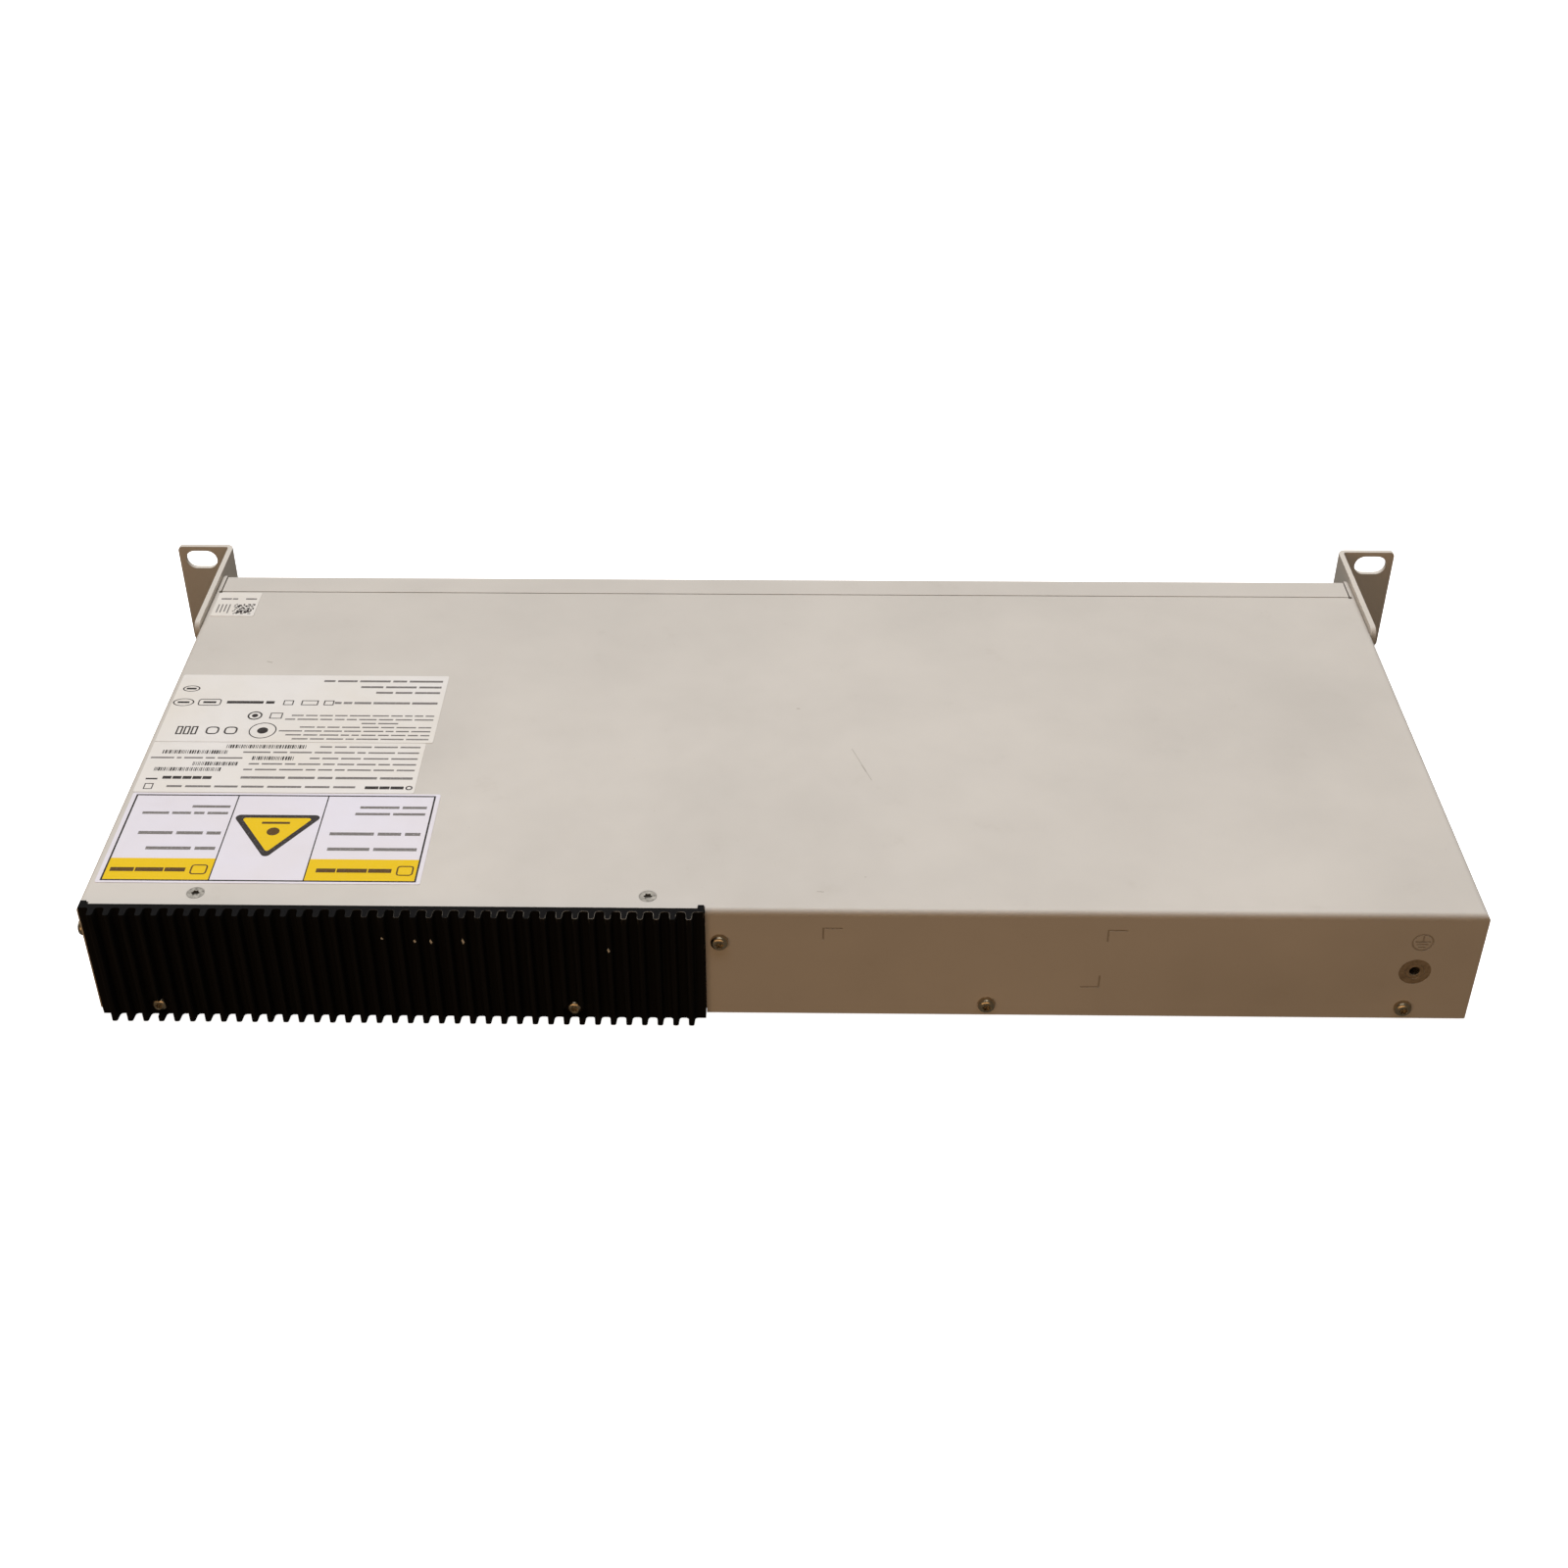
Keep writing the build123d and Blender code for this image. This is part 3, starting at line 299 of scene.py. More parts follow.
def ink(name, colour, strength=0.35):
    """Printed ink: flat colour, lightly broken up as thermal print is."""
    s = Surface(name, colour, 0.5, specular=0.12)
    pale = tuple(c + (0.78 - c) * strength for c in colour[:3]) + (1.0,)
    s.paint(
        colour=s.mix(s.band(s.noise(1500, 3), 0.55, 0.72), colour, pale),
        roughness=s.band(s.noise(400, 2), 0.3, 0.7, 0.38, 0.55),
    )
    return s.material


def solder_mask(name):
    """Green circuit board: tracks under the mask as fine ridges."""
    s = Surface(name, srgb(20, 78, 42), 0.35, specular=0.5)
    cells = s.node("ShaderNodeTexVoronoi", feature="DISTANCE_TO_EDGE", distance="MANHATTAN")
    cells.inputs["Scale"].default_value = 260.0
    s.join(s.place, cells.inputs["Vector"])
    tracks = s.band(cells.outputs["Distance"], 0.06, 0.10)
    s.paint(
        colour=s.mix(tracks, srgb(34, 112, 62), srgb(16, 66, 36)),
        roughness=s.band(s.noise(200, 3), 0.3, 0.7, 0.25, 0.45),
    )
    s.bump(tracks, 0.3, 0.03)
    return s.material


def clear_resin(name):
    """Clear polycarbonate, slightly milky."""
    s = Surface(name, srgb(226, 232, 226), 0.15, specular=0.6)
    s.shader.inputs["Transmission Weight"].default_value = 0.7
    s.shader.inputs["IOR"].default_value = 1.58
    s.paint(
        colour=s.mix(s.noise(300, 2), srgb(226, 232, 226), srgb(205, 216, 208)),
        roughness=s.band(s.noise(500, 2), 0.3, 0.7, 0.12, 0.22),
    )
    return s.material


def wound(name, colour):
    """Enamelled wire laid side by side."""
    s = Surface(name, colour, 0.3, metallic=0.7)
    wave = s.node("ShaderNodeTexWave", wave_type="BANDS", bands_direction="Y")
    wave.inputs["Scale"].default_value = 260.0
    wave.inputs["Distortion"].default_value = 1.0
    s.join(s.place, wave.inputs["Vector"])
    deep = tuple(c * 0.5 for c in colour[:3]) + (1.0,)
    s.paint(colour=s.mix(wave.outputs["Fac"], deep, colour))
    s.bump(wave.outputs["Fac"], 0.5, 0.15)
    return s.material


PAINT = srgb(200, 193, 184)
slot_material = {
    "enclosure_paint": powder_coat("enclosure_paint", PAINT),
    # painted light: the ears take the case's paint made a little lighter, to brighten their shaded rear
    # faces
    "ear_paint": powder_coat("ear_paint", srgb(208, 200, 189), wear=0.9),
    "black_anodised": anodised("black_anodised", 150.0, 40.0),
    "screw_steel": bare_metal("screw_steel", srgb(198, 184, 160), 0.27, 0.40),
    "label_film": film("label_film", srgb(224, 219, 214)),
    "circuit_board": solder_mask("circuit_board"),
    "clear_film": plastic("clear_film", srgb(205, 210, 212), 0.25),
    "shield_metal": bare_metal("shield_metal", srgb(190, 188, 182), 0.34, 0.15, (300, 900, 900)),
    "black_plastic": plastic("black_plastic", srgb(24, 24, 26)),
    "terminal_plastic": plastic("terminal_plastic", srgb(34, 112, 58), 0.38),
    "nickel_brass": bare_metal("nickel_brass", srgb(196, 186, 160), 0.28, 0.2),
    "chip_lid": bare_metal("chip_lid", srgb(150, 150, 150), 0.5, 0.1),
    "thermal_rubber": plastic("thermal_rubber", srgb(140, 158, 172), 0.8),
    "bare_aluminium": bare_metal("bare_aluminium", srgb(196, 196, 198), 0.38, 0.1, (60, 900, 900)),
    "capacitor_sleeve": plastic("capacitor_sleeve", srgb(28, 32, 48), 0.25),
    "winding_copper": wound("winding_copper", srgb(176, 104, 48)),
    "fuse_glass": plastic("fuse_glass", srgb(205, 205, 198), 0.2),
    "lamp_resin": clear_resin("lamp_resin"),
    "wire_insulation": plastic("wire_insulation", srgb(30, 30, 32), 0.5),
    "button_plastic": plastic("button_plastic", srgb(20, 20, 21), 0.3),
}

ink_dark = ink("ink_dark", srgb(48, 42, 40), 0.12)
ink_grey = ink("ink_grey", srgb(120, 115, 112), 0.3)
ink_brown = ink("ink_brown", srgb(88, 62, 12), 0.08)
ink_yellow = ink("ink_yellow", srgb(231, 192, 0), 0.03)
cool_white = film("cool_white", srgb(222, 217, 226))
contact_gold = bare_metal("contact_gold", srgb(222, 178, 92), 0.22, 0.05)
spring_steel = bare_metal("spring_steel", srgb(198, 196, 190), 0.26, 0.1)
bare_ring_metal = bare_metal("bare_ring_metal", srgb(160, 142, 118), 0.6, 0.15, metallic=0.25)
top_screw_steel = bare_metal(
    "top_screw_steel", srgb(146, 141, 132), 0.5, dirt=0.95, grain=(900, 900, 900), metallic=0.6
)
scratch_dirt = ink("scratch_dirt", srgb(164, 155, 144), 0.3)
# painted shade: a darker paint colour for the bottoms of the stamped grooves
groove_shade = ink("groove_shade", srgb(168, 160, 150), 0.1)
# painted light: a pale colour that fills the shaded seam
seam_painted_light = ink("seam_painted_light", srgb(188, 181, 172), 0.1)
# painted shade: the thread crests are coloured near-black brown, for the shade deep in the bore
shaded_thread_metal = bare_metal("shaded_thread_metal", srgb(44, 36, 28), 0.6, 0.3, metallic=0.2)
# painted highlight: a near-white colour for the glints on the fin tips
painted_glint_metal = bare_metal("painted_glint_metal", srgb(235, 228, 214), 0.4, 0.1, metallic=0.1)


def dress_cad_nodes():
    """Gives each CAD node the material of its slot in the record."""
    for part in frame["record"]["subparts"]:
        node = NODES[part["node"]]
        node.data.materials.clear()
        node.data.materials.append(slot_material[part["material_slot"]])
    NODES["heat_label"].data.materials[0] = cool_white
    NODES["ground_nut"].data.materials[0] = bare_ring_metal
    NODES["cover_top_screws"].data.materials[0] = top_screw_steel


# ---------------------------------------------------------------------------
# Small shapes laid on a face: built flat in millimetres, then given a thickness
# ---------------------------------------------------------------------------
TOP = Matrix.Identity(4)  # drawings on top of the cover: right is +X, up is +Y


def front_face(y):
    """Drawings on a face that looks towards -Y: right is +X, up is +Z."""
    return Matrix.Translation((0, y, 0)) @ Matrix.Rotation(math.radians(90), 4, "X")


def back_face(y):
    """Drawings on a face that looks towards +Y, in row coordinates: x is X, y is Z."""
    return Matrix(((1, 0, 0, 0), (0, 0, 1, y), (0, 1, 0, 0), (0, 0, 0, 1)))


def rectangle(x, y, width, height):
    """A bar from its lower left corner."""
    return [(x, y), (x + width, y), (x + width, y + height), (x, y + height)]


def disc(x, y, radius):
    """A round spot."""
    steps = 28
    turns = [2 * math.pi * i / steps for i in range(steps)]
    return [(x + radius * math.cos(t), y + radius * math.sin(t)) for t in turns]


def ring(x, y, outer, inner, steps=36, squash=1.0):
    """A ring as short four-sided pieces, flattened into an oval where squash is under 1."""
    angles = [math.radians(360.0 * i / steps) for i in range(steps + 1)]
    pieces = []
    for a, b in zip(angles, angles[1:]):
        pieces.append(
            [
                (x + inner * math.cos(a), y + inner * squash * math.sin(a)),
                (x + outer * math.cos(a), y + outer * squash * math.sin(a)),
                (x + outer * math.cos(b), y + outer * squash * math.sin(b)),
                (x + inner * math.cos(b), y + inner * squash * math.sin(b)),
            ]
        )
    return pieces


def outline(points, width):
    """A closed line of that width along the inside of a convex outline."""
    count = len(points)
    middle = Vector((sum(p[0] for p in points) / count, sum(p[1] for p in points) / count))
    inner = []
    for i, point in enumerate(points):
        before, here, after = Vector(points[i - 1]), Vector(point), Vector(points[(i + 1) % count])
        first, second = (here - before).normalized(), (after - here).normalized()
        normal = Vector((-first.y, first.x))
        if normal.dot(middle - here) < 0:
            normal = -normal
        half = first.angle_signed(second) / 2 if first.length and second.length else 0.0
        along = (second - first).normalized() if (second - first).length > 1e-6 else normal
        if along.dot(middle - here) < 0:
            along = -along
        inner.append(here + along * (width / max(0.2, math.cos(half))))
    return [
        [tuple(points[i]), tuple(points[(i + 1) % count]), tuple(inner[(i + 1) % count]), tuple(inner[i])]
        for i in range(count)
    ]


def inlay(name, shapes, height, thickness, material, face=TOP):
    """One piece made of flat closed shapes, raised by thickness, at that height above the face's origin."""
    build = bmesh.new()
    for shape in shapes:
        area = sum(a[0] * b[1] - b[0] * a[1] for a, b in zip(shape, shape[1:] + shape[:1]))
        loop = shape if area > 0 else shape[::-1]
        low = [build.verts.new((x, y, height)) for x, y in loop]
        high = [build.verts.new((x, y, height + thickness)) for x, y in loop]
        build.faces.new(high)
        build.faces.new(low[::-1])
        for i in range(len(loop)):
            j = (i + 1) % len(loop)
            build.faces.new((low[i], low[j], high[j], high[i]))
    build.transform(Matrix.Scale(MM, 4) @ face)
    bmesh.ops.recalc_face_normals(build, faces=build.faces)
    finish_mesh(name, build, material)


def finish_mesh(name, build, material, body=BODY):
    """Turns a bmesh in metres into a piece that rides on the body."""
    mesh = bpy.data.meshes.new(name)
    build.to_mesh(mesh)
    build.free()
    mesh.materials.append(material)
    piece = bpy.data.objects.new(name, mesh)
    bpy.context.scene.collection.objects.link(piece)
    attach(piece, body)


# ---------------------------------------------------------------------------
# Label print: plain bars stand for all wording
# ---------------------------------------------------------------------------
PRINT = 0.02  # raised height of ink, mm


def words(x, y, height, widths, gap=0.55):
    """A line of plain bars, one for each width, from x to the right, in a row of that height on y.

    A bar is as thick as half the row, which has the greyness of print that size. The gap between
    bars is a fraction of the height.
    """
    shapes = []
    for width in widths:
        shapes.append(rectangle(x, y + height * 0.25, width, height * 0.5))
        x += width + gap * height
    return shapes


def filler(draw, length, height):
    """Word widths at random, to fill about that length."""
    widths = []
    while sum(widths) + len(widths) * height * 0.55 < length:
        widths.append(draw.uniform(1.6, 5.5) * height)
    return widths


def bar_pattern(draw, x, y, length, height):
    """A plain pattern of upright strokes, in no code."""
    shapes = []
    end = x + length
    while x < end - 0.4:
        width = draw.choice((0.22, 0.22, 0.4, 0.6))
        shapes.append(rectangle(x, y, width, height))
        x += width + draw.choice((0.22, 0.3, 0.45))
    return shapes


def triangle(x, y, width, height):
    """An upright triangle on its base line, centred on x."""
    return [(x - width / 2, y), (x + width / 2, y), (x, y + height)]


def rounded(points, radius):
    """A convex outline with its corners rounded."""
    steps = 5
    result = []
    count = len(points)
    for i, point in enumerate(points):
        here = Vector(point)
        before = (Vector(points[i - 1]) - here).normalized()
        after = (Vector(points[(i + 1) % count]) - here).normalized()
        half = before.angle(after) / 2
        reach = radius / math.tan(half)
        start, end = here + before * reach, here + after * reach
        centre = here + (before + after).normalized() * (radius / math.sin(half))
        first, last = start - centre, end - centre
        sweep = first.angle_signed(last)
        for step in range(steps + 1):
            turn = Matrix.Rotation(-sweep * step / steps, 2)
            result.append(tuple(centre + turn @ first))
    return result


def heat_label_print():
    """A bordered label in three columns, with yellow bands and a plain yellow triangle."""
    low, high = corners("heat_label")
    z = high.z
    left, right = low.x + 1.4, high.x - 1.4
    base, crown = low.y + 1.0, high.y - 1.0
    column_1, column_2 = left + 35.7, left + 65.7
    band_y = crown - 11.5
    line = 0.4

    frame_lines = outline([(left, base), (right, base), (right, crown), (left, crown)], 0.6)
    frame_lines += [rectangle(x - line / 2, base, line, crown - base) for x in (column_1, column_2)]
    inlay("heat_label_border", frame_lines, z + 0.01, PRINT, ink_dark)

    bands = [
        rectangle(left + 0.6, band_y, column_1 - left - 0.6 - line / 2, crown - band_y - 0.6),
        rectangle(column_2 + line / 2, band_y, right - column_2 - 0.6 - line / 2, crown - band_y - 0.6),
    ]
    inlay("heat_label_bands", bands, z, PRINT, ink_yellow)
    titles = []
    for x, widths in ((left + 1.6, (7.4, 9.6, 6.2)), (column_2 + 1.6, (6.6, 9.0, 7.6))):
        titles += outline(rounded(rectangle(x, band_y + 3.2, 5.4, 5.0), 1.2), 0.5)
        titles += words(x + 7.0, band_y + 3.8, 4.0, widths, 0.1)
    inlay("heat_label_titles", titles, z + PRINT, PRINT, ink_brown)

    # rows down from the bands: row height, then the bar widths in each outer column
    rows = (
        (5.3, 3.2, (14.0, 13.6), (6.6, 14.6)),
        (13.4, 3.2, (5.0, 7.6, 14.4), (4.6, 8.6, 11.2)),
        (24.2, 2.6, (10.6, 11.4), (6.8, 3.4, 6.2, 8.8)),
        (27.8, 2.6, (8.0, 13.0), (12.6,)),
    )
    text = []
    for drop, height, first, second in rows:
        y = band_y - drop - height / 2
        text += words(left + 2.2, y, height, first, 0.4)
        text += words(column_2 + 1.6, y, height, second, 0.4)
    inlay("heat_label_lines", text, z, PRINT, ink_grey)

    middle = (column_1 + column_2) / 2 - 0.3
    foot_y = base + 11.0
    inlay("heat_triangle_rim", [rounded(triangle(middle, foot_y, 30.4, 23.4), 1.6)], z, PRINT, ink_dark)
    inside = rounded(triangle(middle, foot_y + 1.7, 23.6, 18.2), 0.8)
    inlay("heat_triangle_fill", [inside], z + PRINT, PRINT, ink_yellow)
    # a plain disc and bar, in place of the symbol
    mark = [disc(middle, foot_y + 9.0, 2.1), rectangle(middle - 4.6, foot_y + 3.8, 9.2, 1.1)]
    inlay("heat_triangle_mark", mark, z + 2 * PRINT, PRINT, ink_brown)
    smudge = [(158.8, -0.3), (160.2, -0.7), (160.9, -0.1), (160.4, 0.5), (159.3, 0.4)]
    smudge = [(x - 1.3, high.y - 30.0 + y) for x, y in smudge]
    inlay("heat_label_smudge", [smudge], z, PRINT, ink_grey)


def serial_label_print():
    """Rows of bars and stroke patterns, as on a serial plate."""
    draw = random.Random(11)
    low, high = corners("serial_label")
    x, top, z = low.x + 1.6, high.y, high.z
    dark = words(x + 2.2, top - 4.7, 3.2, (4.4, 3.4, 4.6), 0.1)
    dark += ring(x + 0.4, top - 3.1, 1.2, 0.7)
    grey = words(x + 18.5, top - 4.4, 2.2, filler(draw, 62, 2.2))
    grey += words(x, top - 9.8, 2.6, (11, 14, 5, 9, 15), 0.4)
    dark += words(x + 68, top - 9.9, 3.2, (3.0, 3.0, 3.0, 3.0, 3.0), 0.12)
    # rows below: how far down, the length of the text, and where a stroke pattern starts and ends
    rows = ((14.0, 62.0, 66.0, 89.0), (17.3, 58.0, 61.0, 76.5), (20.7, 40.0, 42.5, 56.5))
    rows += ((24.2, 63.0, 66.0, 88.5), (27.6, 37.0, 39.5, 67.5))
    strokes = []
    for drop, text_length, start, end in rows:
        y = top - drop
        grey += words(x, y, 1.7, filler(draw, text_length - 4, 1.7))
        strokes += bar_pattern(draw, x + start, y - 0.2, end - start, 2.1)
    grey += words(x + 60, top - 20.7, 1.7, (8.5, 3.2, 6.4, 1.6, 8.0))
    # at the right, a plain block over a bar
    block_x = high.x - 5.5
    dark += outline(rectangle(block_x - 0.4, top - 4.9, 3.0, 3.3), 0.35)
    dark.append(rectangle(block_x - 0.9, top - 7.9, 4.0, 0.8))
    inlay("serial_label_dark", dark + strokes, z, PRINT, ink_dark)
    inlay("serial_label_lines", grey, z, PRINT, ink_grey)


def rating_label_print():
    """A row of plain outline marks over and under lines of bars."""
    draw = random.Random(23)
    low, high = corners("rating_label")
    x, top = low.x + 1.8, high.y
    grey = []
    for drop in (2.8, 5.2, 7.6, 10.0):
        grey += words(x, top - drop, 1.5, filler(draw, 46, 1.5))
    grey += words(x + 12, top - 12.4, 1.5, (7, 5))
    for drop in (14.8, 17.2):
        grey += words(x, top - drop, 1.5, filler(draw, 49, 1.5))
    grey += words(x, top - 25.8, 2.6, (9, 13, 6, 3, 2.4), 0.3)
    grey += words(x, top - 32.4, 2.4, (9, 6, 6), 0.4)
    grey += words(x, top - 36.0, 2.4, (8, 11, 8), 0.4)
    grey += words(x, top - 39.8, 2.4, (12, 5, 11, 7, 4), 0.4)
    # plain rings, discs and blocks stand for every mark
    dark = ring(x + 58.6, top - 7.0, 4.8, 4.4)
    dark += [disc(x + 58.6, top - 7.0, 1.9)]
    dark += outline(rounded(rectangle(x + 67.4, top - 9.2, 4.6, 4.6), 1.6), 0.6)
    dark += outline(rounded(rectangle(x + 73.8, top - 9.2, 4.6, 4.6), 1.6), 0.6)
    for offset in (81.4, 84.0, 86.6):
        dark += outline(rectangle(x + offset, top - 9.4, 2.1, 5.0), 0.55)
    dark += outline(rectangle(x + 53.5, top - 18.0, 4.4, 3.6), 0.4)
    dark += ring(x + 63.2, top - 16.2, 2.6, 2.0)
    dark += [disc(x + 63.2, top - 16.2, 1.1)]
    for offset, width in ((36.8, 3.6), (42.4, 6.0), (51.2, 3.6)):
        dark += outline(rectangle(x + offset, top - 26.0, width, 3.0), 0.4)
    dark += words(x + 58.0, top - 26.2, 3.2, (3.0, 13.0), 0.3)
    dark += outline(rounded(rectangle(x + 77.0, top - 26.6, 8.2, 4.2), 1.2), 0.4)
    dark += words(x + 78.8, top - 25.7, 2.4, (4.6,))
    dark += ring(x + 90.4, top - 24.4, 3.8, 3.3, squash=0.62)
    dark += words(x + 88.3, top - 25.5, 2.2, (4.2,))
    dark += ring(x + 89.6, top - 33.2, 3.1, 2.6, squash=0.62)
    dark += words(x + 87.8, top - 34.3, 2.2, (3.6,))
    inlay("rating_label_marks", dark, high.z, PRINT, ink_dark)
    inlay("rating_label_lines", grey, high.z, PRINT, ink_grey)


def asset_label_print():
    """A small tag with a patch of random squares and short bars."""
    draw = random.Random(5)
    low, high = corners("asset_label")
    cell, columns, rows = 0.56, 14, 13
    left, crown = low.x + 0.9, high.y - 1.6
    squares = []
    for column in range(columns):
        for row in range(rows):
            if draw.random() < 0.52:
                squares.append(rectangle(left + column * cell, crown - (row + 1) * cell, cell, cell))
    grey = []
    for offset in (10.2, 11.6, 13.0, 14.4):
        grey += [rectangle(low.x + offset, high.y - 8.6, 0.5, draw.uniform(4.5, 6.6))]
    grey += words(low.x + 1.2, high.y - 13.6, 2.0, (4.2,))
    grey += words(low.x + 8.4, high.y - 13.6, 2.0, (2.0, 4.0), 0.2)
    inlay("asset_label_squares", squares, high.z, PRINT, ink_dark)
    inlay("asset_label_lines", grey, high.z, PRINT, ink_grey)


# ---------------------------------------------------------------------------
# Details of the case
# ---------------------------------------------------------------------------
def ground_ring():
    """The unpainted metal that shows in the shallow ring round the ground thread."""
    outer, inner, sunk = 5.15, 3.05, 0.12
    pieces = ring(GROUND_X, GROUND_Z, outer, inner, steps=48)
    inlay("ground_ring", pieces, 0.0, 0.03, bare_ring_metal, back_face(REAR_Y - sunk))


def thread_rings():
    """The crests of the M4 thread inside the ground bore."""
    build = bmesh.new()
    turns, steps, pitch = 7, 24, 0.7
    root_radius, crest_radius, half_base = 1.64, 1.42, Vector((0, 0.26, 0))
    rows = []
    for i in range(turns * steps + 1):
        angle = 2 * math.pi * i / steps
        y = REAR_Y - 0.5 - pitch * i / steps
        across = Vector((math.cos(angle), 0, math.sin(angle)))
        centre = Vector((GROUND_X, y, GROUND_Z))
        root, crest = centre + across * root_radius, centre + across * crest_radius
        rows.append([build.verts.new(p) for p in (root + half_base, crest, root - half_base)])
    for a, b in zip(rows, rows[1:]):
        for k in (0, 1):
            build.faces.new((a[k], a[k + 1], b[k + 1], b[k]))
        build.faces.new((a[2], a[0], b[0], b[2]))
    build.faces.new(rows[0])
    build.faces.new(rows[-1][::-1])
    bmesh.ops.recalc_face_normals(build, faces=build.faces)
    build.transform(Matrix.Scale(MM, 4))
    finish_mesh("ground_thread", build, shaded_thread_metal)


def stamped_shade():
    """Painted shade: darker lines laid in the stamped corner marks and earth symbol of the rear panel."""
    stroke, depth = 0.44, 0.25
    across, upright = 5.7, 4.5
    lines = []
    # two marks at the areas' upper corners, then one at a lower corner
    z = 35.53
    for x in (-13.77, -102.37):
        lines.append(rectangle(x - across, z, across + stroke, stroke))
        lines.append(rectangle(x, z - upright, stroke, upright))
    x, z = -101.27, 12.23
    lines.append(rectangle(x, z, 6.1, stroke))
    lines.append(rectangle(x, z + stroke, stroke, upright))
    # the earth symbol: a ring, an upright and three bars
    x, z = GROUND_X - 0.3, GROUND_Z + 12.1
    lines += ring(x, z, 3.37, 2.93, steps=40)
    lines.append(rectangle(x - stroke / 2, z + 0.45, stroke, 2.1))
    for level, width in ((0.2, 4.7), (-0.9, 3.5), (-2.0, 2.1)):
        lines.append(rectangle(x - width / 2, z + level - stroke / 2, width, stroke))
    inlay("stamped_shade", lines, 0.0, 0.02, groove_shade, back_face(REAR_Y - depth))


def lit_seam_fill():
    """A pale strip in the seam between the cover and the tray's strip: painted light, which makes the
    seam's shaded line a little paler.
    """
    half_length, width, behind_panel = 216.2, 0.4, 12.05
    strip = rectangle(-half_length, PANEL_Y + behind_panel, 2 * half_length, width)
    inlay("seam_painted_light", [strip], TOP_Z - 0.4, 0.2, seam_painted_light, TOP)


def fin_glints():
    """A few bright slivers on the tips of the heat sink's fins: painted glints."""
    # each glint's X, Z and height
    spots = ((123.2, 35.2, 0.7), (113.1, 34.2, 0.9), (108.1, 34.0, 1.3))
    spots += ((98.1, 34.1, 1.6), (53.1, 30.9, 1.3))
    chips_and_glints = []
    for x, z, size in spots:
        left, right, middle = x - 0.45, x + 0.5, x + 0.1
        chips_and_glints.append([(left, z), (middle, z + size), (right, z + 0.4 * size), (middle, z - 0.5 * size)])
    inlay("fin_glints", chips_and_glints, 0.0, 0.012, painted_glint_metal, back_face(SINK_HIGH.y))


def cover_marks():
    """A chip, a fine scratch and specks in the paint of the cover, as thin slivers."""
    slivers = [
        [(-6.6, -2.6), (-5.4, -2.9), (-5.0, -2.5), (-6.0, -2.3)],
        [(-24.2, 21.9), (-24.0, 21.9), (-30.3, 40.4), (-30.5, 40.4)],
        [(-27.2, 31.4), (-27.0, 31.3), (-28.6, 35.6), (-28.8, 35.6)],
        [(-13.8, REAR_Y - 9.7), (-11.6, REAR_Y - 9.9), (-11.5, REAR_Y - 9.6), (-13.6, REAR_Y - 9.4)],
        [(-27.4, REAR_Y - 17.2), (-26.6, REAR_Y - 17.4), (-26.7, REAR_Y - 17.0)],
        [(186.2, -30.8), (188.4, -31.6), (188.6, -31.3), (186.5, -30.5)],
    ]
    inlay("cover_marks", slivers, TOP_Z + 0.002, 0.006, scratch_dirt, TOP)


def jack_contacts(number):
    """The eight sprung gold wires in one network jack, from the back wall down to the floor."""
    low, high = corners(f"ethernet_jack_{number}")
    middle, mouth = (low.x + high.x) / 2, low.y
    floor = low.z + 2.15
    build = bmesh.new()
    for i in range(8):
        x = middle + (i - 3.5) * 1.02
        points = ((12.8, 1.0), (11.0, 2.7), (6.2, 0.9), (3.6, 0.35))
        rows = []
        for depth, height in points:
            y, z = mouth + depth, floor + height
            sides = ((-0.2, -0.12), (0.2, -0.12), (0.2, 0.12), (-0.2, 0.12))
            rows.append([build.verts.new((x + dx, y, z + dz)) for dx, dz in sides])
        for a, b in zip(rows, rows[1:]):
            for k in range(4):
                build.faces.new((a[k], a[(k + 1) % 4], b[(k + 1) % 4], b[k]))
        build.faces.new(rows[0])
        build.faces.new(rows[-1][::-1])
    bmesh.ops.recalc_face_normals(build, faces=build.faces)
    build.transform(Matrix.Scale(MM, 4))
    finish_mesh(f"jack_contacts_{number}", build, contact_gold)


def cage_springs(number):
    """Bowed spring fingers round the mouth of one module cage, which touch the panel opening."""
    low, high = corners(f"module_cage_{number}")
    start = PANEL_Y - 0.9
    build = bmesh.new()
    profile = ((0.0, 0.02), (1.2, 0.22), (3.0, 0.22), (4.6, 0.02))

    def finger(origin, along, outward):
        rows = []
        for depth, proud in profile:
            base = origin + Vector((0, depth, 0)) + outward * proud
            rows.append(
                [
                    build.verts.new(base - along * 0.75),
                    build.verts.new(base + along * 0.75),
                    build.verts.new(base + along * 0.75 + outward * 0.06),
                    build.verts.new(base - along * 0.75 + outward * 0.06),
                ]
            )
        for a, b in zip(rows, rows[1:]):
            for k in range(4):
                build.faces.new((a[k], a[(k + 1) % 4], b[(k + 1) % 4], b[k]))
        build.faces.new(rows[0])
        build.faces.new(rows[-1][::-1])

    for i in range(6):
        x = low.x + 1.6 + i * (high.x - low.x - 3.2) / 5
        finger(Vector((x, start, high.z)), Vector((1, 0, 0)), Vector((0, 0, 1)))
    for i in range(4):
        z = low.z + 1.4 + i * (high.z - low.z - 2.8) / 3
        finger(Vector((low.x, start, z)), Vector((0, 0, 1)), Vector((-1, 0, 0)))
        finger(Vector((high.x, start, z)), Vector((0, 0, 1)), Vector((1, 0, 0)))
    bmesh.ops.recalc_face_normals(build, faces=build.faces)
    build.transform(Matrix.Scale(MM, 4))
    finish_mesh(f"cage_springs_{number}", build, spring_steel)


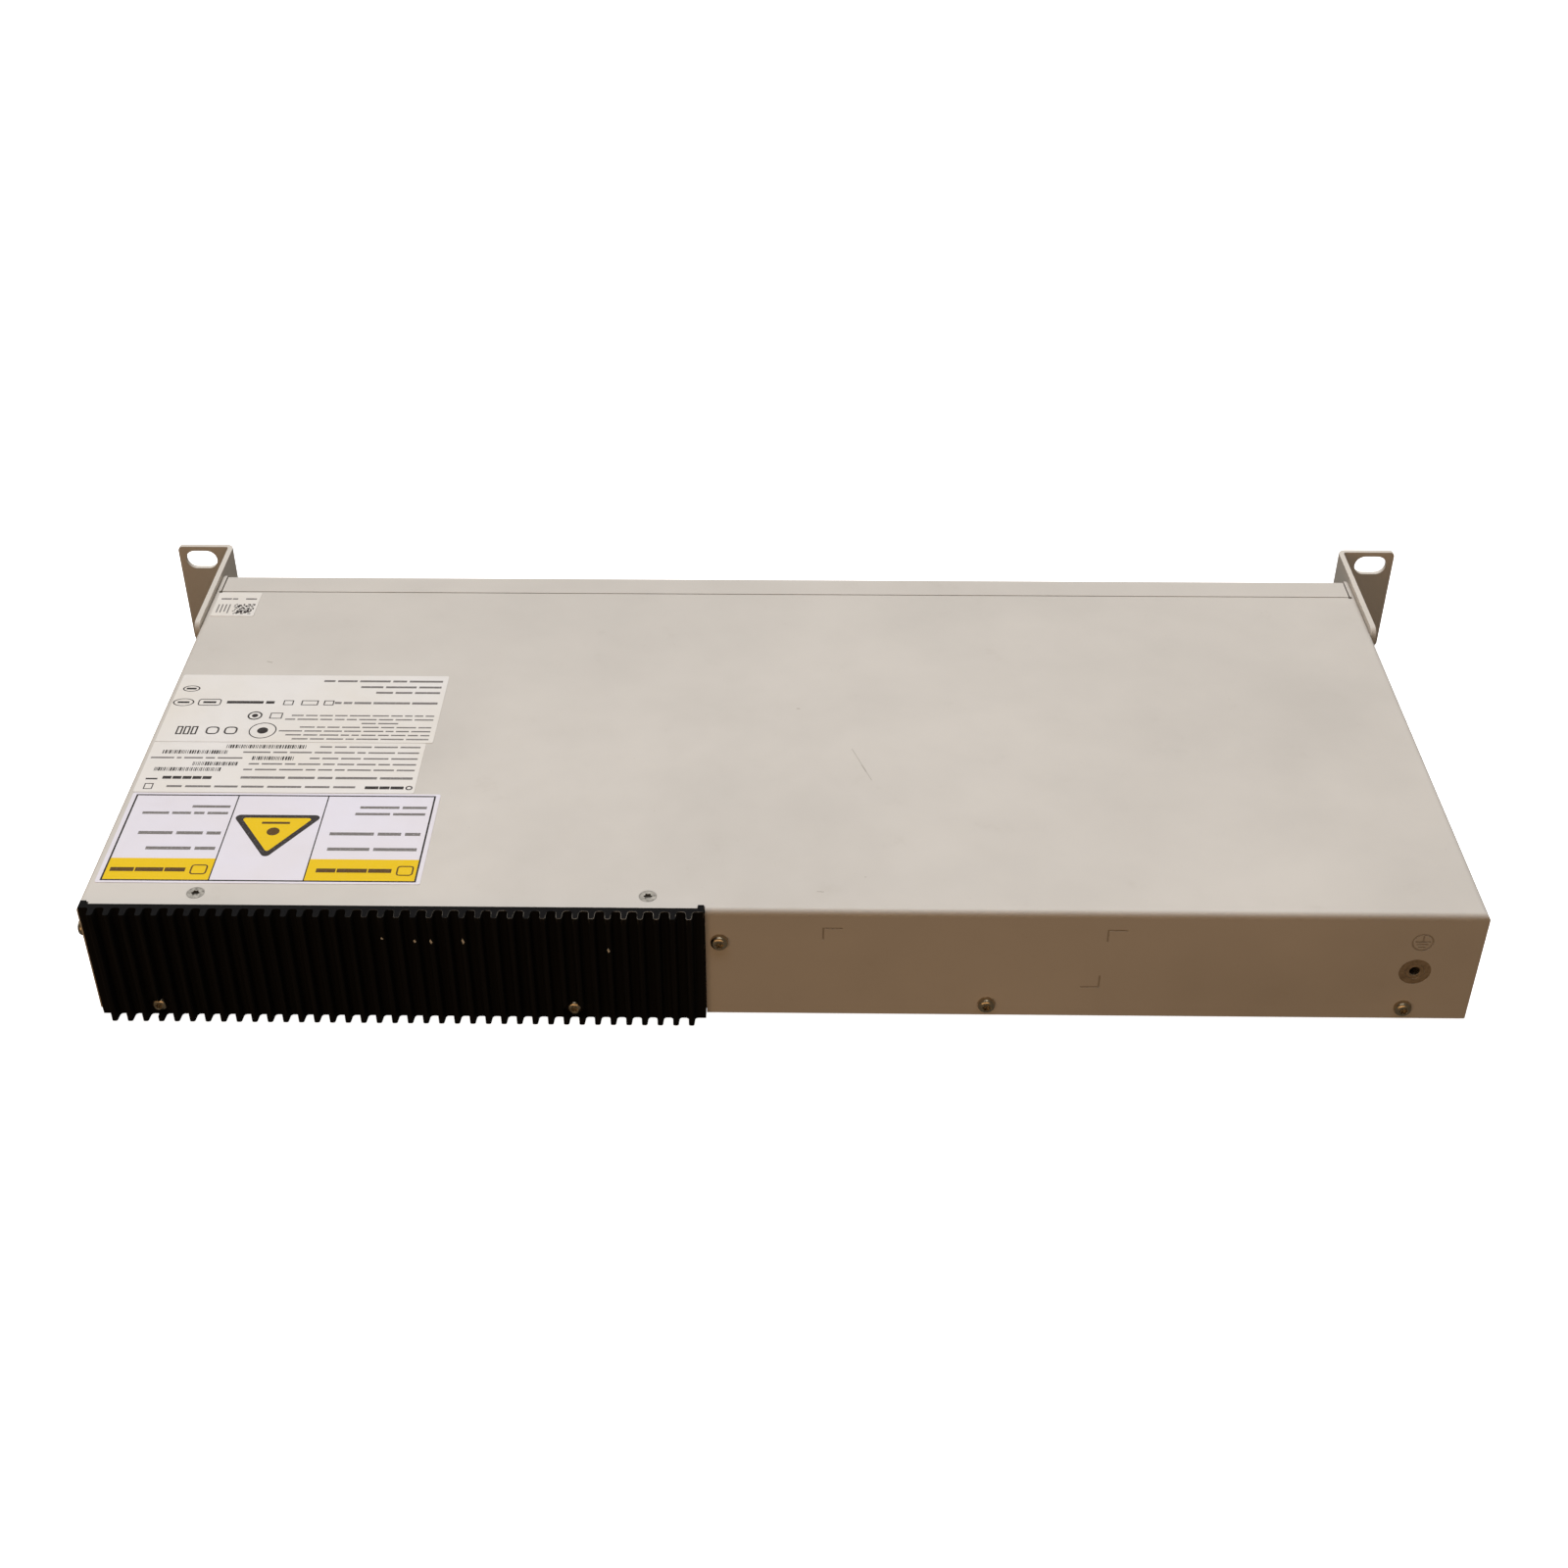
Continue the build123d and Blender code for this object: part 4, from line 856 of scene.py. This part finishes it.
def panel_print():
    """Plain line frames round the groups of ports on the front panel, and dots for the lamps."""
    face = front_face(PANEL_Y)
    lines = []
    for number in (1, 2, 3):
        cage_low = corners(f"module_cage_{number}")[0]
        jack_high = corners(f"ethernet_jack_{number + 2}")[1]
        left, right = cage_low.x - 2.5, jack_high.x + 2.5
        base, crown = cage_low.z - 2.4, jack_high.z + 9.4
        lines += outline(rounded([(left, base), (right, base), (right, crown), (left, crown)], 1.5), 0.35)
        lines.append(rectangle(left + 3.0, crown - 3.6, 6.5, 1.0))
        lines.append(rectangle(right - 9.5, crown - 3.6, 6.5, 1.0))
    for number in (1, 2):
        low, high = corners(f"ethernet_jack_{number}")
        lines.append(rectangle(low.x + 4.0, high.z + 2.0, high.x - low.x - 8.0, 1.0))
    low, high = corners("terminal_block")
    for i in (-1, 0, 1):
        lines.append(rectangle((low.x + high.x) / 2 + 8.0 * i - 1.2, high.z + 1.6, 2.4, 0.9))
    inlay("panel_print", lines, 0.0, PRINT, ink_grey, face)


# ---------------------------------------------------------------------------
# Studio
# ---------------------------------------------------------------------------
def make_floor():
    size = 14.0
    build = bmesh.new()
    bmesh.ops.create_grid(build, x_segments=8, y_segments=8, size=size)
    mesh = bpy.data.meshes.new("floor")
    build.to_mesh(mesh)
    build.free()
    s = Surface("floor_paper", srgb(250, 249, 247), 0.9, specular=0.0)
    s.paint(colour=s.mix(s.noise(3, 2), srgb(250, 249, 247), srgb(247, 246, 244)))
    s.shader.inputs["Emission Color"].default_value = (1.0, 1.0, 1.0, 1.0)
    s.shader.inputs["Emission Strength"].default_value = 0.92
    mesh.materials.append(s.material)
    floor = bpy.data.objects.new("floor", mesh)
    floor.location.z = -0.0003
    floor.visible_diffuse = False
    floor.visible_glossy = False
    bpy.context.scene.collection.objects.link(floor)


def area_light(name, place, target, size, power, colour):
    data = bpy.data.lights.new(name, "AREA")
    data.shape = "RECTANGLE"
    data.size, data.size_y = size
    data.energy = power
    data.color = colour
    lamp = bpy.data.objects.new(name, data)
    lamp.location = place
    lamp.rotation_mode = "QUATERNION"
    lamp.rotation_quaternion = (Vector(target) - Vector(place)).to_track_quat("-Z", "Y")
    bpy.context.scene.collection.objects.link(lamp)


def make_light():
    world = bpy.data.worlds.new("studio")
    world.use_nodes = True
    tree = world.node_tree
    dim = tree.nodes["Background"]
    dim.inputs["Color"].default_value = (1.0, 0.9, 0.78, 1.0)
    dim.inputs["Strength"].default_value = 0.05
    sheen = tree.nodes.new("ShaderNodeBackground")
    sheen.inputs["Color"].default_value = (1.0, 0.84, 0.64, 1.0)
    sheen.inputs["Strength"].default_value = 0.12
    bright = tree.nodes.new("ShaderNodeBackground")
    bright.inputs["Color"].default_value = (1.0, 1.0, 1.0, 1.0)
    bright.inputs["Strength"].default_value = 1.0
    path = tree.nodes.new("ShaderNodeLightPath")
    unlit = tree.nodes.new("ShaderNodeMixShader")
    tree.links.new(path.outputs["Is Glossy Ray"], unlit.inputs[0])
    tree.links.new(dim.outputs[0], unlit.inputs[1])
    tree.links.new(sheen.outputs[0], unlit.inputs[2])
    choose = tree.nodes.new("ShaderNodeMixShader")
    tree.links.new(path.outputs["Is Camera Ray"], choose.inputs[0])
    tree.links.new(unlit.outputs[0], choose.inputs[1])
    tree.links.new(bright.outputs[0], choose.inputs[2])
    tree.links.new(choose.outputs[0], tree.nodes["World Output"].inputs["Surface"])
    bpy.context.scene.world = world

    sun = bpy.data.lights.new("key", "SUN")
    sun.energy = 2.6
    sun.angle = math.radians(38)
    sun.color = (0.97, 0.98, 1.0)
    key = bpy.data.objects.new("key", sun)
    key.rotation_mode = "QUATERNION"
    key.rotation_quaternion = Vector((-0.12, 0.52, -1.0)).to_track_quat("-Z", "Y")
    bpy.context.scene.collection.objects.link(key)

    area_light("warm_fill", (0.25, 1.5, 0.28), (0, 0.1, 0.02), (1.8, 0.5), 5.9, (1.0, 0.60, 0.29))
    area_light("overhead", (0.0, 0.45, 1.1), (0, 0.05, 0.03), (0.9, 0.25), 1.6, (1.0, 0.98, 0.94))
    area_light("left_fill", (-1.3, -0.5, 0.7), (0, 0, 0.02), (0.8, 0.8), 4.0, (1.0, 0.97, 0.93))
    area_light("right_fill", (1.3, -0.5, 0.7), (0, 0, 0.02), (0.8, 0.8), 4.0, (1.0, 0.97, 0.93))


make_camera()
dress_cad_nodes()
heat_label_print()
serial_label_print()
rating_label_print()
asset_label_print()
ground_ring()
thread_rings()
stamped_shade()
lit_seam_fill()
fin_glints()
cover_marks()
for number in range(1, 6):
    jack_contacts(number)
for number in range(1, 4):
    cage_springs(number)
panel_print()
make_floor()
make_light()
bpy.context.scene.view_settings.view_transform = "Standard"
